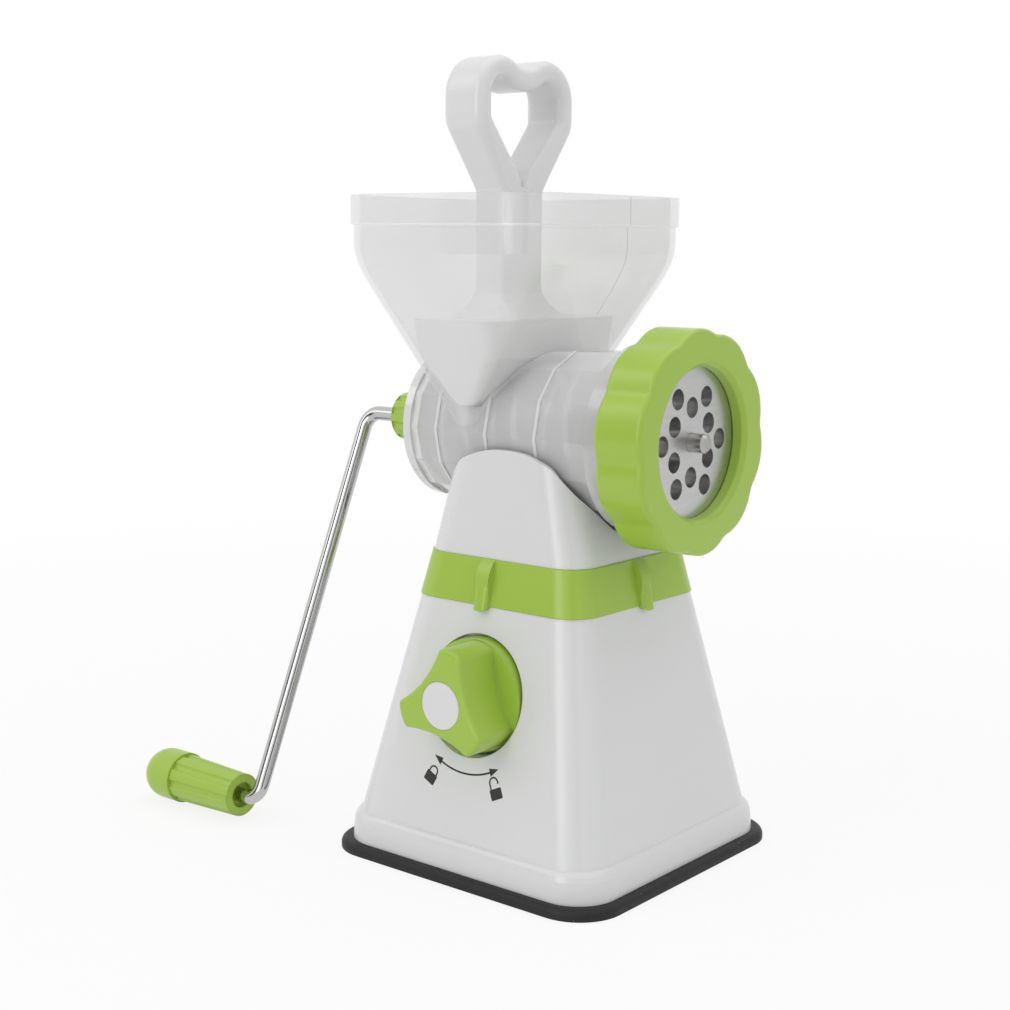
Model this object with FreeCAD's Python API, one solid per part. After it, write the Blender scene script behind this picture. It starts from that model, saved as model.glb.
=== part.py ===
import FreeCAD, Part
import math
import os

# Hand crank meat grinder on a suction foot.
# Millimetres, +Z up, +X along the barrel towards the outlet.
# The origin is the centre of the suction pad's underside.

Vector = FreeCAD.Vector
DOWN_X = Vector(1, 0, 0)
DOWN_Y = Vector(0, 1, 0)
DOWN_Z = Vector(0, 0, 1)
ORIGIN = Vector(0, 0, 0)

# Fits and gaps
RUN_FIT = 0.05
PRESS_FIT = 0.02
SEAT_GAP = 0.2
BODY_GAP = 0.35
FACE_GAP = 0.1

# Suction pad
PAD_SIDE = 140.0
PAD_CORNER = 20.0
PAD_THICK = 4.2
PAD_EDGE_ROUND = 2.6
PAD_MEMBRANE = 2.2
PAD_BOSS_RADIUS = 15.0
PAD_BOSS_TOP = 6.4

# Lower base shell: a skirt under a tapered tower
WALL = 2.6
SKIRT_HALF = 65.8
SKIRT_TOP_HALF = 65.5
SKIRT_TOP = 10.6
SKIRT_CORNER = 18.0
STEP_IN = 3.0
STEP_RISE = 6.0
STEP_BENDS = 4
TOWER_CORNER = 16.0
NECK_HALF = 44.0
NECK_CORNER = 14.0
NECK_Z = 109.0
DECK = 3.0
DECK_HOLE_RADIUS = 20.0
BASE_BOSS_INSET = 13.6
BASE_BOSS_RADIUS = 5.0
BASE_BOSS_HEIGHT = 18.0
BOSS_WEB = 2.4

# Bottom plate inside the skirt
PLATE_THICK = 3.0
CHAMBER_RADIUS = 42.0
CHAMBER_ROOF = 14.0
GUIDE_RADIUS = 9.0
GUIDE_TOP = 30.0

# Screws
SCREW_RADIUS = 1.7
SCREW_HEAD_RADIUS = 3.2
SCREW_HEAD_HEIGHT = 1.7
SCREW_REACH = 11.0
HOLE_SLACK = 0.2
SHELL_SCREW_PLACE = 25.0
POST_RADIUS = 4.5

# Waist band
BAND_HEIGHT = 18.5
BAND_PROUD = 0.4
RIB_WIDTH = 6.8
RIB_PROUD = 3.0
RIB_DROP = 1.6
RIB_SHIFT = -3.3
RIB_SLOPE_HEIGHT = 9.0
RIB_SLOPE_BULGE = 0.8
RIB_ROUND = 2.0
RIB_ROOT = 1.0

# Upper shell, a saddle with two tongues beside the barrel
SADDLE_WALL = 2.2
SADDLE_FOOT_HALF = 40.1
SADDLE_TOP_HALF_X = 29.8
SADDLE_TOP_HALF_Y = 36.0
SADDLE_CORNER = 13.0
SADDLE_EASE = 1.25
SADDLE_TRIM = 8.0
SADDLE_STEPS = 12
TONGUE_DROP = 5.3
DIP_RISE = 9.0

# Barrel
AXIS_RISE = 48.9
BARREL_SIDES = 14
BARREL_REAR = -58.0
REAR_FLANGE_LENGTH = 4.0
REAR_FLANGE_RADIUS = 32.0
REAR_WALL = 6.0
BARREL_REAR_RADIUS = 31.5
BARREL_FRONT_RADIUS = 35.0
FRONT_FLANGE_X = 40.0
FRONT_FLANGE_LENGTH = 9.0
FRONT_FLANGE_RADIUS = 37.5
NOSE_LENGTH = 14.3
NOSE_RADIUS = 35.6
BORE_RADIUS = 28.2
HOOP_PLACES = (-39.5, -12.2, 13.8)
HOOP_WIDTH = 1.6
HOOP_PROUD = 0.5
PEDESTAL_HALF_X = 24.0
PEDESTAL_HALF_Y = 19.0
PEDESTAL_WALL = 3.0
BARREL_SCREW_X = 17.0
BARREL_SCREW_Y = 12.0

# Thread between barrel nose and ring nut
THREAD_PITCH = 5.0
THREAD_TURNS = 1.5
THREAD_RISE = 1.6
THREAD_BASE = 2.2
THREAD_CREST = 1.2
THREAD_LEAD = 2.8
THREAD_ROOT_GAP = 0.6

# Cutting plate and ring nut
DISC_THICK = 5.0
DISC_RADIUS = 31.5
DISC_PROUD = 1.7
DISC_HOLE_RADIUS = 4.1
DISC_INNER_CIRCLE = 13.7
DISC_OUTER_CIRCLE = 20.1
DISC_HOLES_PER_CIRCLE = 6
KEY_WIDTH = 4.0
KEY_DEPTH = 1.6
RING_FLANGE_GAP = 0.5
RING_LENGTH = 21.5
RING_RADIUS = 44.7
RING_OPENING = 29.8
RING_BEVEL = 1.8
RING_ROUND = 1.8
SCALLOPS = 10
SCALLOP_RADIUS = 9.0
SCALLOP_DEPTH = 1.9
SCALLOP_TURN = 6.4

# Auger, its pin and the knife
AUGER_RADIUS = 27.4
AUGER_CORE = 9.0
AUGER_PITCH = 26.0
AUGER_ROOT_WIDTH = 5.0
AUGER_TIP_WIDTH = 3.2
AUGER_SINK = 0.6
AUGER_SQUARE = 11.0
PIN_RADIUS = 3.8
PIN_PROUD = 7.5
PIN_CHAMFER = 1.2
PIN_DEPTH = 28.0
KNIFE_THICK = 4.6
KNIFE_RADIUS = 25.0
KNIFE_HUB = 9.5
KNIFE_BLADE_WIDTH = 9.0
KNIFE_BLADES = 4

# Drive shaft and rear bearing
SHAFT_RADIUS = 6.0
SHAFT_HEX_RADIUS = 5.8
SHAFT_AUGER_DEPTH = 30.0
SHAFT_HUB_DEPTH = 11.0
BUSH_RADIUS = 9.0
BUSH_FLANGE_RADIUS = 12.0
BUSH_FLANGE = 1.8
SEAL_RADIUS = 10.0
SEAL_THICK = 1.0
WASHER_THICK = 1.6
WASHER_RADIUS = 13.0

# Crank
HUB_FRONT_RADIUS = 12.2
HUB_REAR_RADIUS = 10.3
HUB_LENGTH = 24.0
HUB_FLUTES = 10
HUB_FLUTE_RADIUS = 2.2
HUB_FLUTE_DEPTH = 0.9
HUB_DOME = 2.0
ROD_RADIUS = 3.2
ROD_HUB_DEPTH = 11.0
ARM_X = -108.6
ARM_LENGTH = 179.3
ARM_TILT = 23.3
ROD_TOP_BEND = 7.0
ROD_GRIP_BEND = 6.5

# Grip
GRIP_START = 10.1
GRIP_LENGTH = 37.4
GRIP_ROOT_RADIUS = 9.4
GRIP_END_RADIUS = 10.5
GRIP_FLUTES = 8
GRIP_FLUTE_RADIUS = 2.4
GRIP_FLUTE_DEPTH = 1.0
GRIP_MOUTH_RADIUS = 5.6
GRIP_MOUTH_DEPTH = 3.0
GRIP_POCKET_RADIUS = 6.8
GRIP_POCKET_DEPTH = 9.0
RETAINER_RADIUS = 6.2
RETAINER_THICK = 1.4
ROD_PAST_RETAINER = 2.0
CAP_LENGTH = 21.9
CAP_RADIUS = 11.3
CAP_PLUG = 3.0

# Hopper
HOPPER_X = -23.4
HOPPER_TIP_X = -22.2
HOPPER_WALL = 2.4
RIM_HALF_X = 52.1
RIM_HALF_Y = 56.1
RIM_CORNER = 19.0
RIM_RISE = 95.2
RIM_HEIGHT = 12.0
RIM_STEP = 1.3
SHOULDER_DROP = 19.6
SHOULDER_HEIGHT = 18.0
SHOULDER_HALF_X = 43.4
SHOULDER_HALF_Y = 50.6
SHOULDER_CORNER = 15.0
SHOULDER_STEPS = 5
TIP_RISE = 3.2
TIP_HALF_X = 3.4
TIP_HALF_Y = 36.0
TIP_CORNER = 2.0
FLOOR_RISE = 10.6
SADDLE_GLUE = 0.05

# Pusher
FOOT_HALF_X = 20.0
FOOT_HALF_Y = 46.0
FOOT_CORNER = 5.0
FOOT_CORNER_SHARE = 0.7
FOOT_TIP_ROUND = 11.0
FOOT_TIP_BENDS = 4
FOOT_HEIGHT = 35.0
FOOT_SADDLE_GAP = 1.6
STEM_X = 14.9
STEM_Y = 26.6
STEM_CORNER = 1.4
STEM_OFFSET = -3.9
STEM_SINK = 4.0
STEM_PROUD = 3.9
FLARE_HEIGHT = 13.0
FLARE_SPREAD = 8.5
LOOP_THICK = 20.0
LOOP_WIDTH = 9.5
LOOP_ROUND = 3.8
LOOP_HALF = 26.6
LOOP_FOOT_SINK = 4.0
LOOP_FOOT_BEND = 12.0
LOOP_BEND = 8.0
LOOP_BEND_RISE = 32.4
LOOP_SIDE = 7.0
LOOP_LOBE_RADIUS = 11.75
LOOP_DIP_RISE = 7.4

# Lock knob and lift gear
KNOB_X = -2.0
KNOB_Z = 73.6
RECESS_RADIUS = 24.4
RECESS_FLOOR = 43.0
KNOB_DISC_RADIUS = 23.2
KNOB_DISC_FACE = 51.0
KNOB_FACE = 71.6
LOBE_TIP = 22.8
LOBE_TIP_DROP = 1.0
LOBE_WIDTH = 11.0
LOBE_CORNER_ROUND = 2.2
LOBE_WAIST = 13.0
LOBE_ANGLE = 79.0
KNOB_LOBES = 3
KNOB_ROUND = 1.5
CAP_DISC_RADIUS = 9.5
CAP_DISC_THICK = 2.6
KNOB_POCKET = 3.4
KNOB_WEB = 3.0
KNOB_SCREW_REACH = 16.0
CAM_SHAFT_RADIUS = 5.0
CAM_BEARING_RADIUS = 9.0
CAM_BEARING_END = 20.0
COLLAR_RADIUS = 8.0
COLLAR_WIDTH = 3.0
CAM_HALF_WIDTH = 5.0
CAM_START_RADIUS = 11.0
CAM_LIFT = 6.0
LOCK_ANGLE = 90.0
CAM_RUN_OUT = 20.0
CAM_POINTS = 36
FOLLOWER_RADIUS = 3.0
YOKE_PLATE = 2.5
YOKE_SIDE_GAP = 2.2
YOKE_HALF_X = 9.0
YOKE_WEB_Z = 36.0
YOKE_WEB = 4.0
YOKE_HEAD = 6.0
STUD_RADIUS = 5.0
STUD_FLANGE_RADIUS = 10.0
STUD_FLANGE_Z = 2.6
STUD_FLANGE = 1.8
NUT_HEIGHT = 5.0

# Sizes that follow from the ones above
TOWER_Z = SKIRT_TOP + STEP_RISE
TOWER_HALF = SKIRT_TOP_HALF - STEP_IN
BAND_TOP = NECK_Z + BAND_HEIGHT
DECK_TOP = BAND_TOP + DECK
AXIS_Z = BAND_TOP + AXIS_RISE
TONGUE_TOP = AXIS_Z - TONGUE_DROP
DIP_TOP = BAND_TOP + DIP_RISE
RIM_TOP = AXIS_Z + RIM_RISE
SHOULDER_TOP = RIM_TOP - SHOULDER_DROP
SHOULDER_BOTTOM = SHOULDER_TOP - SHOULDER_HEIGHT
TIP_Z = AXIS_Z + TIP_RISE
FLOOR_Z = AXIS_Z + FLOOR_RISE
FOOT_TOP = FLOOR_Z + FOOT_HEIGHT
STEM_TOP = RIM_TOP + STEM_PROUD
LOOP_FOOT_Z = STEM_TOP - LOOP_FOOT_SINK
LOOP_FOOT_WIDTH = STEM_Y / 2
LOOP_FOOT_HALF = LOOP_FOOT_WIDTH / 2
LOOP_BEND_Z = LOOP_FOOT_Z + LOOP_BEND_RISE
LOOP_LOBE_Z = LOOP_BEND_Z + LOOP_SIDE
LOOP_DIP_Z = LOOP_LOBE_Z + LOOP_DIP_RISE
PLATE_TOP = PAD_THICK + PLATE_THICK
SCREW_SEAT = PAD_THICK + SEAT_GAP + SCREW_HEAD_HEIGHT
SHELL_SCREW_SEAT = NECK_Z - DECK
SHELL_SCREW_REACH = 2 * DECK + SCREW_REACH
BORE_BACK = BARREL_REAR + REAR_WALL
BODY_BACK = BARREL_REAR + REAR_FLANGE_LENGTH
FRONT_FLANGE_END = FRONT_FLANGE_X + FRONT_FLANGE_LENGTH
NOSE_END = FRONT_FLANGE_END + NOSE_LENGTH
THREAD_START = FRONT_FLANGE_END + THREAD_LEAD
RING_BACK = FRONT_FLANGE_END + RING_FLANGE_GAP
RING_FRONT = RING_BACK + RING_LENGTH
DISC_FRONT = NOSE_END + DISC_PROUD
DISC_BACK = DISC_FRONT - DISC_THICK
PIN_TIP = DISC_FRONT + PIN_PROUD
KNIFE_FRONT = DISC_BACK - BODY_GAP
KNIFE_BACK = KNIFE_FRONT - KNIFE_THICK
AUGER_BACK = BORE_BACK + WASHER_THICK + 2 * SEAT_GAP
AUGER_FRONT = KNIFE_BACK - SEAT_GAP
BUSH_BACK = BARREL_REAR - BUSH_FLANGE
SEAL_BACK = BUSH_BACK - SEAL_THICK
HUB_FRONT = SEAL_BACK - BODY_GAP
HUB_REAR = HUB_FRONT - HUB_LENGTH
ARM_ANGLE = math.radians(ARM_TILT)
STEM_CENTRE = HOPPER_X + STEM_OFFSET
GRIP_Y = -ARM_LENGTH * math.sin(ARM_ANGLE)
GRIP_Z = AXIS_Z - ARM_LENGTH * math.cos(ARM_ANGLE)
GRIP_ROOT_X = ARM_X - GRIP_START
GRIP_END_X = GRIP_ROOT_X - GRIP_LENGTH
POCKET_X = GRIP_END_X + GRIP_POCKET_DEPTH
RETAINER_X = POCKET_X - BODY_GAP
ROD_END_X = RETAINER_X - RETAINER_THICK - ROD_PAST_RETAINER
NUT_THREAD_RADIUS = NOSE_RADIUS + THREAD_RISE + THREAD_ROOT_GAP
FOLLOWER_Z = KNOB_Z + CAM_START_RADIUS + BODY_GAP + FOLLOWER_RADIUS
SHAFT_END = KNOB_FACE - CAP_DISC_THICK - KNOB_POCKET - KNOB_WEB


def between(start, end, share):
    """Value at a share of the way from start to end."""
    return start + (end - start) * share


def tower_half(z):
    """Half width of the tapered tower at height z, carried on through the band."""
    return between(TOWER_HALF, NECK_HALF, (z - TOWER_Z) / (NECK_Z - TOWER_Z))


def tower_corner(z):
    """Corner radius of the tapered tower at height z."""
    return between(TOWER_CORNER, NECK_CORNER, (z - TOWER_Z) / (NECK_Z - TOWER_Z))


def skirt_half(z):
    """Half width of the skirt at height z."""
    return between(SKIRT_HALF, SKIRT_TOP_HALF, (z - PAD_THICK) / (SKIRT_TOP - PAD_THICK))


def skirt_sections():
    """Half width, corner radius and height of each section from the pad up to the tower's foot."""
    sections = [(SKIRT_HALF, SKIRT_CORNER, PAD_THICK)]
    for bend in range(STEP_BENDS + 1):
        turn = math.pi / 2 * bend / STEP_BENDS
        half = TOWER_HALF + STEP_IN * math.cos(turn)
        corner = between(TOWER_CORNER, SKIRT_CORNER, math.cos(turn))
        sections.append((half, corner, SKIRT_TOP + STEP_RISE * math.sin(turn)))
    return sections


def saddle_halves(z):
    """Half widths of the upper shell in X and in Y at height z."""
    share = (z - BAND_TOP) / (TONGUE_TOP - BAND_TOP)
    return [between(SADDLE_FOOT_HALF, half, share) for half in (SADDLE_TOP_HALF_X, SADDLE_TOP_HALF_Y)]


def barrel_radius(x):
    """Corner radius of the twelve-sided barrel at x."""
    share = (x - BODY_BACK) / (FRONT_FLANGE_X - BODY_BACK)
    return between(BARREL_REAR_RADIUS, BARREL_FRONT_RADIUS, share)


def rounded_wire(half_x, half_y, corner, z, centre_x=0.0):
    """Closed rounded rectangle at height z."""
    edges = []
    inset_x = half_x - corner
    inset_y = half_y - corner
    previous = None
    first = None
    for sign_x, sign_y, start in ((1, 1, 0), (-1, 1, 90), (-1, -1, 180), (1, -1, 270)):
        points = []
        for turn in (0, 45, 90):
            angle = math.radians(start + turn)
            points.append(Vector(centre_x + sign_x * inset_x + corner * math.cos(angle),
                                 sign_y * inset_y + corner * math.sin(angle), z))
        if previous is None:
            first = points[0]
        else:
            edges.append(Part.LineSegment(previous, points[0]).toShape())
        edges.append(Part.Arc(*points).toShape())
        previous = points[2]
    edges.append(Part.LineSegment(previous, first).toShape())
    return Part.Wire(edges)


def loft(wires):
    """Closed solid through the wires, straight from one to the next."""
    return Part.makeLoft(wires, True, True)


def prism(half_x, half_y, corner, bottom, top, centre_x=0.0):
    """Upright rounded rectangular block."""
    face = Part.Face(rounded_wire(half_x, half_y, corner, bottom, centre_x))
    return face.extrude(Vector(0, 0, top - bottom))


def rod_x(radius, start, end, y=0.0, z=AXIS_Z):
    """Cylinder along X between two x places."""
    return Part.makeCylinder(radius, abs(end - start), Vector(min(start, end), y, z), DOWN_X)


def rod_y(radius, start, end, x=KNOB_X, z=KNOB_Z):
    """Cylinder along Y between two y places."""
    return Part.makeCylinder(radius, abs(end - start), Vector(x, min(start, end), z), DOWN_Y)


def rod_z(radius, bottom, top, x=0.0, y=0.0):
    """Upright cylinder between two heights."""
    return Part.makeCylinder(radius, top - bottom, Vector(x, y, bottom), DOWN_Z)


def cone_x(rear_radius, front_radius, rear, front, y=0.0, z=AXIS_Z):
    """Cone along +X from rear to front."""
    return Part.makeCone(rear_radius, front_radius, front - rear, Vector(rear, y, z), DOWN_X)


def block(low, high):
    """Box between two corners."""
    size = [end - start for start, end in zip(low, high)]
    return Part.makeBox(*size, Vector(*low))


def four_places(place_x, place_y):
    """The four mirrored places around the Z axis."""
    return [(sx * place_x, sy * place_y) for sx in (-1, 1) for sy in (-1, 1)]


def around_x(shape, count, y=0.0, z=AXIS_Z, start=0.0):
    """Copies of a shape spaced evenly about an axis along X."""
    copies = []
    for index in range(count):
        copy = shape.copy()
        copy.rotate(Vector(0, y, z), DOWN_X, start + index * 360.0 / count)
        copies.append(copy)
    return copies


def polygon_wire(x, radius, sides=BARREL_SIDES):
    """Regular polygon around the barrel axis, in the plane at x."""
    points = []
    for index in range(sides + 1):
        angle = 2 * math.pi * index / sides
        points.append(Vector(x, radius * math.cos(angle), AXIS_Z + radius * math.sin(angle)))
    return Part.makePolygon(points)


def hexagon_x(radius, start, end):
    """Hexagonal bar on the barrel axis."""
    return loft([polygon_wire(start, radius, 6), polygon_wire(end, radius, 6)])


def one_solid(shape):
    """The single solid in a shape, with its split faces joined."""
    return shape.removeSplitter().Solids[0]


def screws(places, seat, reach):
    """Pan head screws that point up, with their heads under a seat."""
    made = []
    for x, y in places:
        head = rod_z(SCREW_HEAD_RADIUS, seat - SCREW_HEAD_HEIGHT, seat, x, y)
        made.append(one_solid(head.fuse(rod_z(SCREW_RADIUS, seat, seat + reach, x, y))))
    return Part.makeCompound(made)


def base_plate_screws():
    """Screws that hold the bottom plate in the base shell."""
    return screws(base_boss_places(), SCREW_SEAT, SCREW_REACH)


def shell_screws():
    """Screws that join base shell, band and upper shell."""
    return screws(four_places(SHELL_SCREW_PLACE, SHELL_SCREW_PLACE), SHELL_SCREW_SEAT, SHELL_SCREW_REACH)


def barrel_screws():
    """Screws that hold the barrel's pedestal on the upper shell."""
    return screws(four_places(BARREL_SCREW_X, BARREL_SCREW_Y), BAND_TOP, SCREW_REACH)


def suction_pad():
    """Rubber pad with a thin middle and a boss moulded round the stud's flange."""
    half = PAD_SIDE / 2
    pad = prism(half, half, PAD_CORNER, 0.0, PAD_THICK)
    pad = pad.makeFillet(PAD_EDGE_ROUND, [edge for edge in pad.Edges if edge.BoundBox.ZMin > PAD_MEMBRANE])
    pad = pad.cut(rod_z(CHAMBER_RADIUS, PAD_MEMBRANE, PAD_THICK))
    pad = pad.fuse(rod_z(PAD_BOSS_RADIUS, 0.0, PAD_BOSS_TOP, KNOB_X))
    flange_top = STUD_FLANGE_Z + STUD_FLANGE + RUN_FIT
    pocket = rod_z(STUD_FLANGE_RADIUS + RUN_FIT, STUD_FLANGE_Z - RUN_FIT, flange_top, KNOB_X)
    pocket = pocket.fuse(rod_z(STUD_RADIUS + RUN_FIT, flange_top, PAD_BOSS_TOP, KNOB_X))
    return one_solid(pad.cut(pocket))


def base_outer():
    """Outside of the lower base shell, filled."""
    sections = skirt_sections() + [(NECK_HALF, NECK_CORNER, NECK_Z)]
    return loft([rounded_wire(half, half, corner, z) for half, corner, z in sections])


def base_boss_places():
    """Places of the bottom plate's screws, set in from the skirt."""
    place = skirt_half(PLATE_TOP) - BASE_BOSS_INSET
    return four_places(place, place)


def base_shell():
    """White tower with a skirt, a knob recess and a deck on top."""
    outer = base_outer()
    deck_z = NECK_Z - DECK
    sections = skirt_sections() + [(tower_half(deck_z), tower_corner(deck_z), deck_z)]
    inner = loft([rounded_wire(half - WALL, half - WALL, corner - WALL, z) for half, corner, z in sections])
    shell = outer.cut(inner)
    cup = rod_y(RECESS_RADIUS + WALL, -SKIRT_HALF, -RECESS_FLOOR + WALL)
    shell = shell.fuse(cup.common(outer))
    shell = shell.fuse(rod_y(CAM_BEARING_RADIUS, -RECESS_FLOOR, -CAM_BEARING_END))
    boss_top = PLATE_TOP + BASE_BOSS_HEIGHT
    for x, y in base_boss_places():
        wall_x = math.copysign(SKIRT_HALF, x)
        post = rod_z(BASE_BOSS_RADIUS, PLATE_TOP, boss_top, x, y)
        web = block((min(x, wall_x), y - BOSS_WEB / 2, PLATE_TOP),
                    (max(x, wall_x), y + BOSS_WEB / 2, boss_top))
        shell = shell.fuse(post.fuse(web).common(outer))
    shell = shell.cut(rod_y(RECESS_RADIUS, -SKIRT_HALF, -RECESS_FLOOR))
    shell = shell.cut(rod_y(CAM_SHAFT_RADIUS + RUN_FIT, -SKIRT_HALF, -CAM_BEARING_END))
    shell = shell.cut(rod_z(DECK_HOLE_RADIUS, deck_z, NECK_Z))
    for x, y in base_boss_places():
        shell = shell.cut(rod_z(SCREW_RADIUS + RUN_FIT, PLATE_TOP, SCREW_SEAT + SCREW_REACH, x, y))
    for x, y in four_places(SHELL_SCREW_PLACE, SHELL_SCREW_PLACE):
        shell = shell.cut(rod_z(SCREW_RADIUS + HOLE_SLACK, deck_z, NECK_Z, x, y))
    return one_solid(shell)


def base_plate():
    """Bottom plate with the suction chamber's roof and the stud's guide."""
    half = min(skirt_half(PAD_THICK), skirt_half(PLATE_TOP)) - WALL - BODY_GAP
    plate = prism(half, half, SKIRT_CORNER - WALL - BODY_GAP, PAD_THICK, PLATE_TOP)
    roof_top = CHAMBER_ROOF + PLATE_THICK
    plate = plate.fuse(rod_z(CHAMBER_RADIUS + PLATE_THICK, PAD_THICK, roof_top))
    plate = plate.cut(rod_z(CHAMBER_RADIUS, PAD_THICK, CHAMBER_ROOF))
    plate = plate.fuse(rod_z(GUIDE_RADIUS, CHAMBER_ROOF, GUIDE_TOP, KNOB_X))
    plate = plate.cut(rod_z(STUD_RADIUS + RUN_FIT, CHAMBER_ROOF, GUIDE_TOP, KNOB_X))
    for x, y in base_boss_places():
        plate = plate.cut(rod_z(SCREW_HEAD_RADIUS + HOLE_SLACK, PAD_THICK, SCREW_SEAT, x, y))
        plate = plate.cut(rod_z(SCREW_RADIUS + HOLE_SLACK, PAD_THICK, PLATE_TOP, x, y))
    return one_solid(plate)


def waist_band():
    """Green band with a round-topped rib on each face."""
    sections = [(tower_half(z) + BAND_PROUD, tower_corner(z), z) for z in (NECK_Z, BAND_TOP)]
    outer = loft([rounded_wire(half, half, corner, z) for half, corner, z in sections])
    inside = [(tower_half(z) + BAND_PROUD - WALL, tower_corner(z) - WALL, z)
              for z in (NECK_Z + DECK, BAND_TOP)]
    band = outer.cut(loft([rounded_wire(half, half, corner, z) for half, corner, z in inside]))
    rib = band_rib()
    for quarter in range(4):
        copy = rib.copy()
        copy.rotate(ORIGIN, DOWN_Z, 90.0 * quarter)
        if quarter % 2 == 0:
            copy.translate(Vector(RIB_SHIFT, 0, 0))
        band = band.fuse(copy)
    band = band.cut(rod_z(DECK_HOLE_RADIUS, NECK_Z, NECK_Z + DECK))
    for x, y in four_places(SHELL_SCREW_PLACE, SHELL_SCREW_PLACE):
        band = band.cut(rod_z(SCREW_RADIUS + HOLE_SLACK, NECK_Z, NECK_Z + DECK, x, y))
    return one_solid(band)


def band_rib():
    """One upright rib on the -Y face with a rounded top, hanging below the band's lower edge."""
    foot_z = NECK_Z - RIB_DROP
    slope_z = BAND_TOP - RIB_SLOPE_HEIGHT
    bulge_z = between(slope_z, BAND_TOP, math.sqrt(1.0 - RIB_SLOPE_BULGE ** 2))
    outline = [(tower_half(BAND_TOP) + BAND_PROUD, BAND_TOP),
               (tower_half(BAND_TOP) - RIB_ROOT, BAND_TOP),
               (tower_half(NECK_Z) - RIB_ROOT, NECK_Z),
               (tower_half(NECK_Z) + FACE_GAP, NECK_Z),
               (tower_half(foot_z) + FACE_GAP, foot_z),
               (tower_half(foot_z) + BAND_PROUD + RIB_PROUD, foot_z),
               (tower_half(slope_z) + BAND_PROUD + RIB_PROUD, slope_z)]
    points = [Vector(-RIB_WIDTH / 2, -out, z) for out, z in outline]
    bulge = Vector(-RIB_WIDTH / 2, -tower_half(bulge_z) - BAND_PROUD - RIB_PROUD * RIB_SLOPE_BULGE, bulge_z)
    slope = Part.Arc(points[-1], bulge, points[0]).toShape()
    rib = Part.Face(Part.Wire(Part.makePolygon(points).Edges + [slope])).extrude(Vector(RIB_WIDTH, 0, 0))
    front = tower_half(slope_z) + BAND_PROUD + RIB_PROUD
    edges = [edge for edge in rib.Edges
             if abs(abs(edge.CenterOfMass.x) - RIB_WIDTH / 2) < FACE_GAP and edge.CenterOfMass.y < -front]
    return rib.makeFillet(RIB_ROUND, edges)


def saddle_point(share, spread):
    """Point of the saddle's edge at a share of the way from tongue to dip, moved out by spread."""
    half_x, half_y = saddle_halves((TONGUE_TOP + DIP_TOP) / 2)
    flat_x = half_x - SADDLE_CORNER
    flat_y = half_y - SADDLE_CORNER
    bend = SADDLE_CORNER * math.pi / 2
    along = share * (flat_x + bend + flat_y)
    turn = min(max((along - flat_x) / SADDLE_CORNER, 0.0), math.pi / 2)
    x = min(along, flat_x) + (SADDLE_CORNER + spread) * math.sin(turn)
    y = flat_y - max(along - flat_x - bend, 0.0) + (SADDLE_CORNER + spread) * math.cos(turn)
    fall = (1.0 - math.cos(math.pi * share ** SADDLE_EASE)) / 2
    return Vector(x, -y, between(TONGUE_TOP, DIP_TOP, fall))


def saddle_tool(height):
    """Block above a quarter of the saddle's edge, ruled straight across the wall."""
    edges = []
    for spread in (-SADDLE_TRIM, SADDLE_TRIM):
        curve = Part.BSplineCurve()
        curve.interpolate([saddle_point(step / SADDLE_STEPS, spread) for step in range(SADDLE_STEPS + 1)])
        edges.append(curve.toShape())
    return Part.makeRuledSurface(*edges).extrude(Vector(0, 0, height))


def upper_shell():
    """White saddle whose tongues stand beside the barrel and dip under its ends."""
    top = TONGUE_TOP + WALL
    wires = []
    hollow = []
    for z in (BAND_TOP, top):
        half_x, half_y = saddle_halves(z)
        wires.append(rounded_wire(half_x, half_y, SADDLE_CORNER, z))
    for z in (DECK_TOP, top):
        half_x, half_y = [half - SADDLE_WALL for half in saddle_halves(z)]
        hollow.append(rounded_wire(half_x, half_y, SADDLE_CORNER - SADDLE_WALL, z))
    shell = loft(wires).cut(loft(hollow))
    quarter = saddle_tool(top - DIP_TOP)
    for tool in (quarter, quarter.mirror(ORIGIN, DOWN_X)):
        shell = shell.cut(tool).cut(tool.mirror(ORIGIN, DOWN_Y))
    for x, y in four_places(SHELL_SCREW_PLACE, SHELL_SCREW_PLACE):
        shell = shell.fuse(rod_z(POST_RADIUS, NECK_Z + DECK, DECK_TOP, x, y))
        pilot = rod_z(SCREW_RADIUS + RUN_FIT, NECK_Z + DECK, SHELL_SCREW_SEAT + SHELL_SCREW_REACH, x, y)
        shell = shell.cut(pilot)
    for x, y in four_places(BARREL_SCREW_X, BARREL_SCREW_Y):
        shell = shell.cut(rod_z(SCREW_RADIUS + HOLE_SLACK, BAND_TOP, DECK_TOP, x, y))
    return one_solid(shell)


def thread_ridge(root_radius, crest_radius, start):
    """Right-handed helical ridge on the barrel axis, from root to crest radius."""
    sink = math.copysign(THREAD_ROOT_GAP, root_radius - crest_radius)
    root = root_radius + sink
    helix = Part.makeHelix(THREAD_PITCH, THREAD_PITCH * THREAD_TURNS, root_radius)
    profile = Part.makePolygon([Vector(root, 0, -THREAD_BASE / 2), Vector(crest_radius, 0, -THREAD_CREST / 2),
                                Vector(crest_radius, 0, THREAD_CREST / 2), Vector(root, 0, THREAD_BASE / 2),
                                Vector(root, 0, -THREAD_BASE / 2)])
    ridge = Part.Wire(helix.Edges).makePipeShell([profile], True, True)
    ridge.rotate(ORIGIN, DOWN_Y, 90.0)
    ridge.translate(Vector(start, 0, AXIS_Z))
    return ridge


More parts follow.
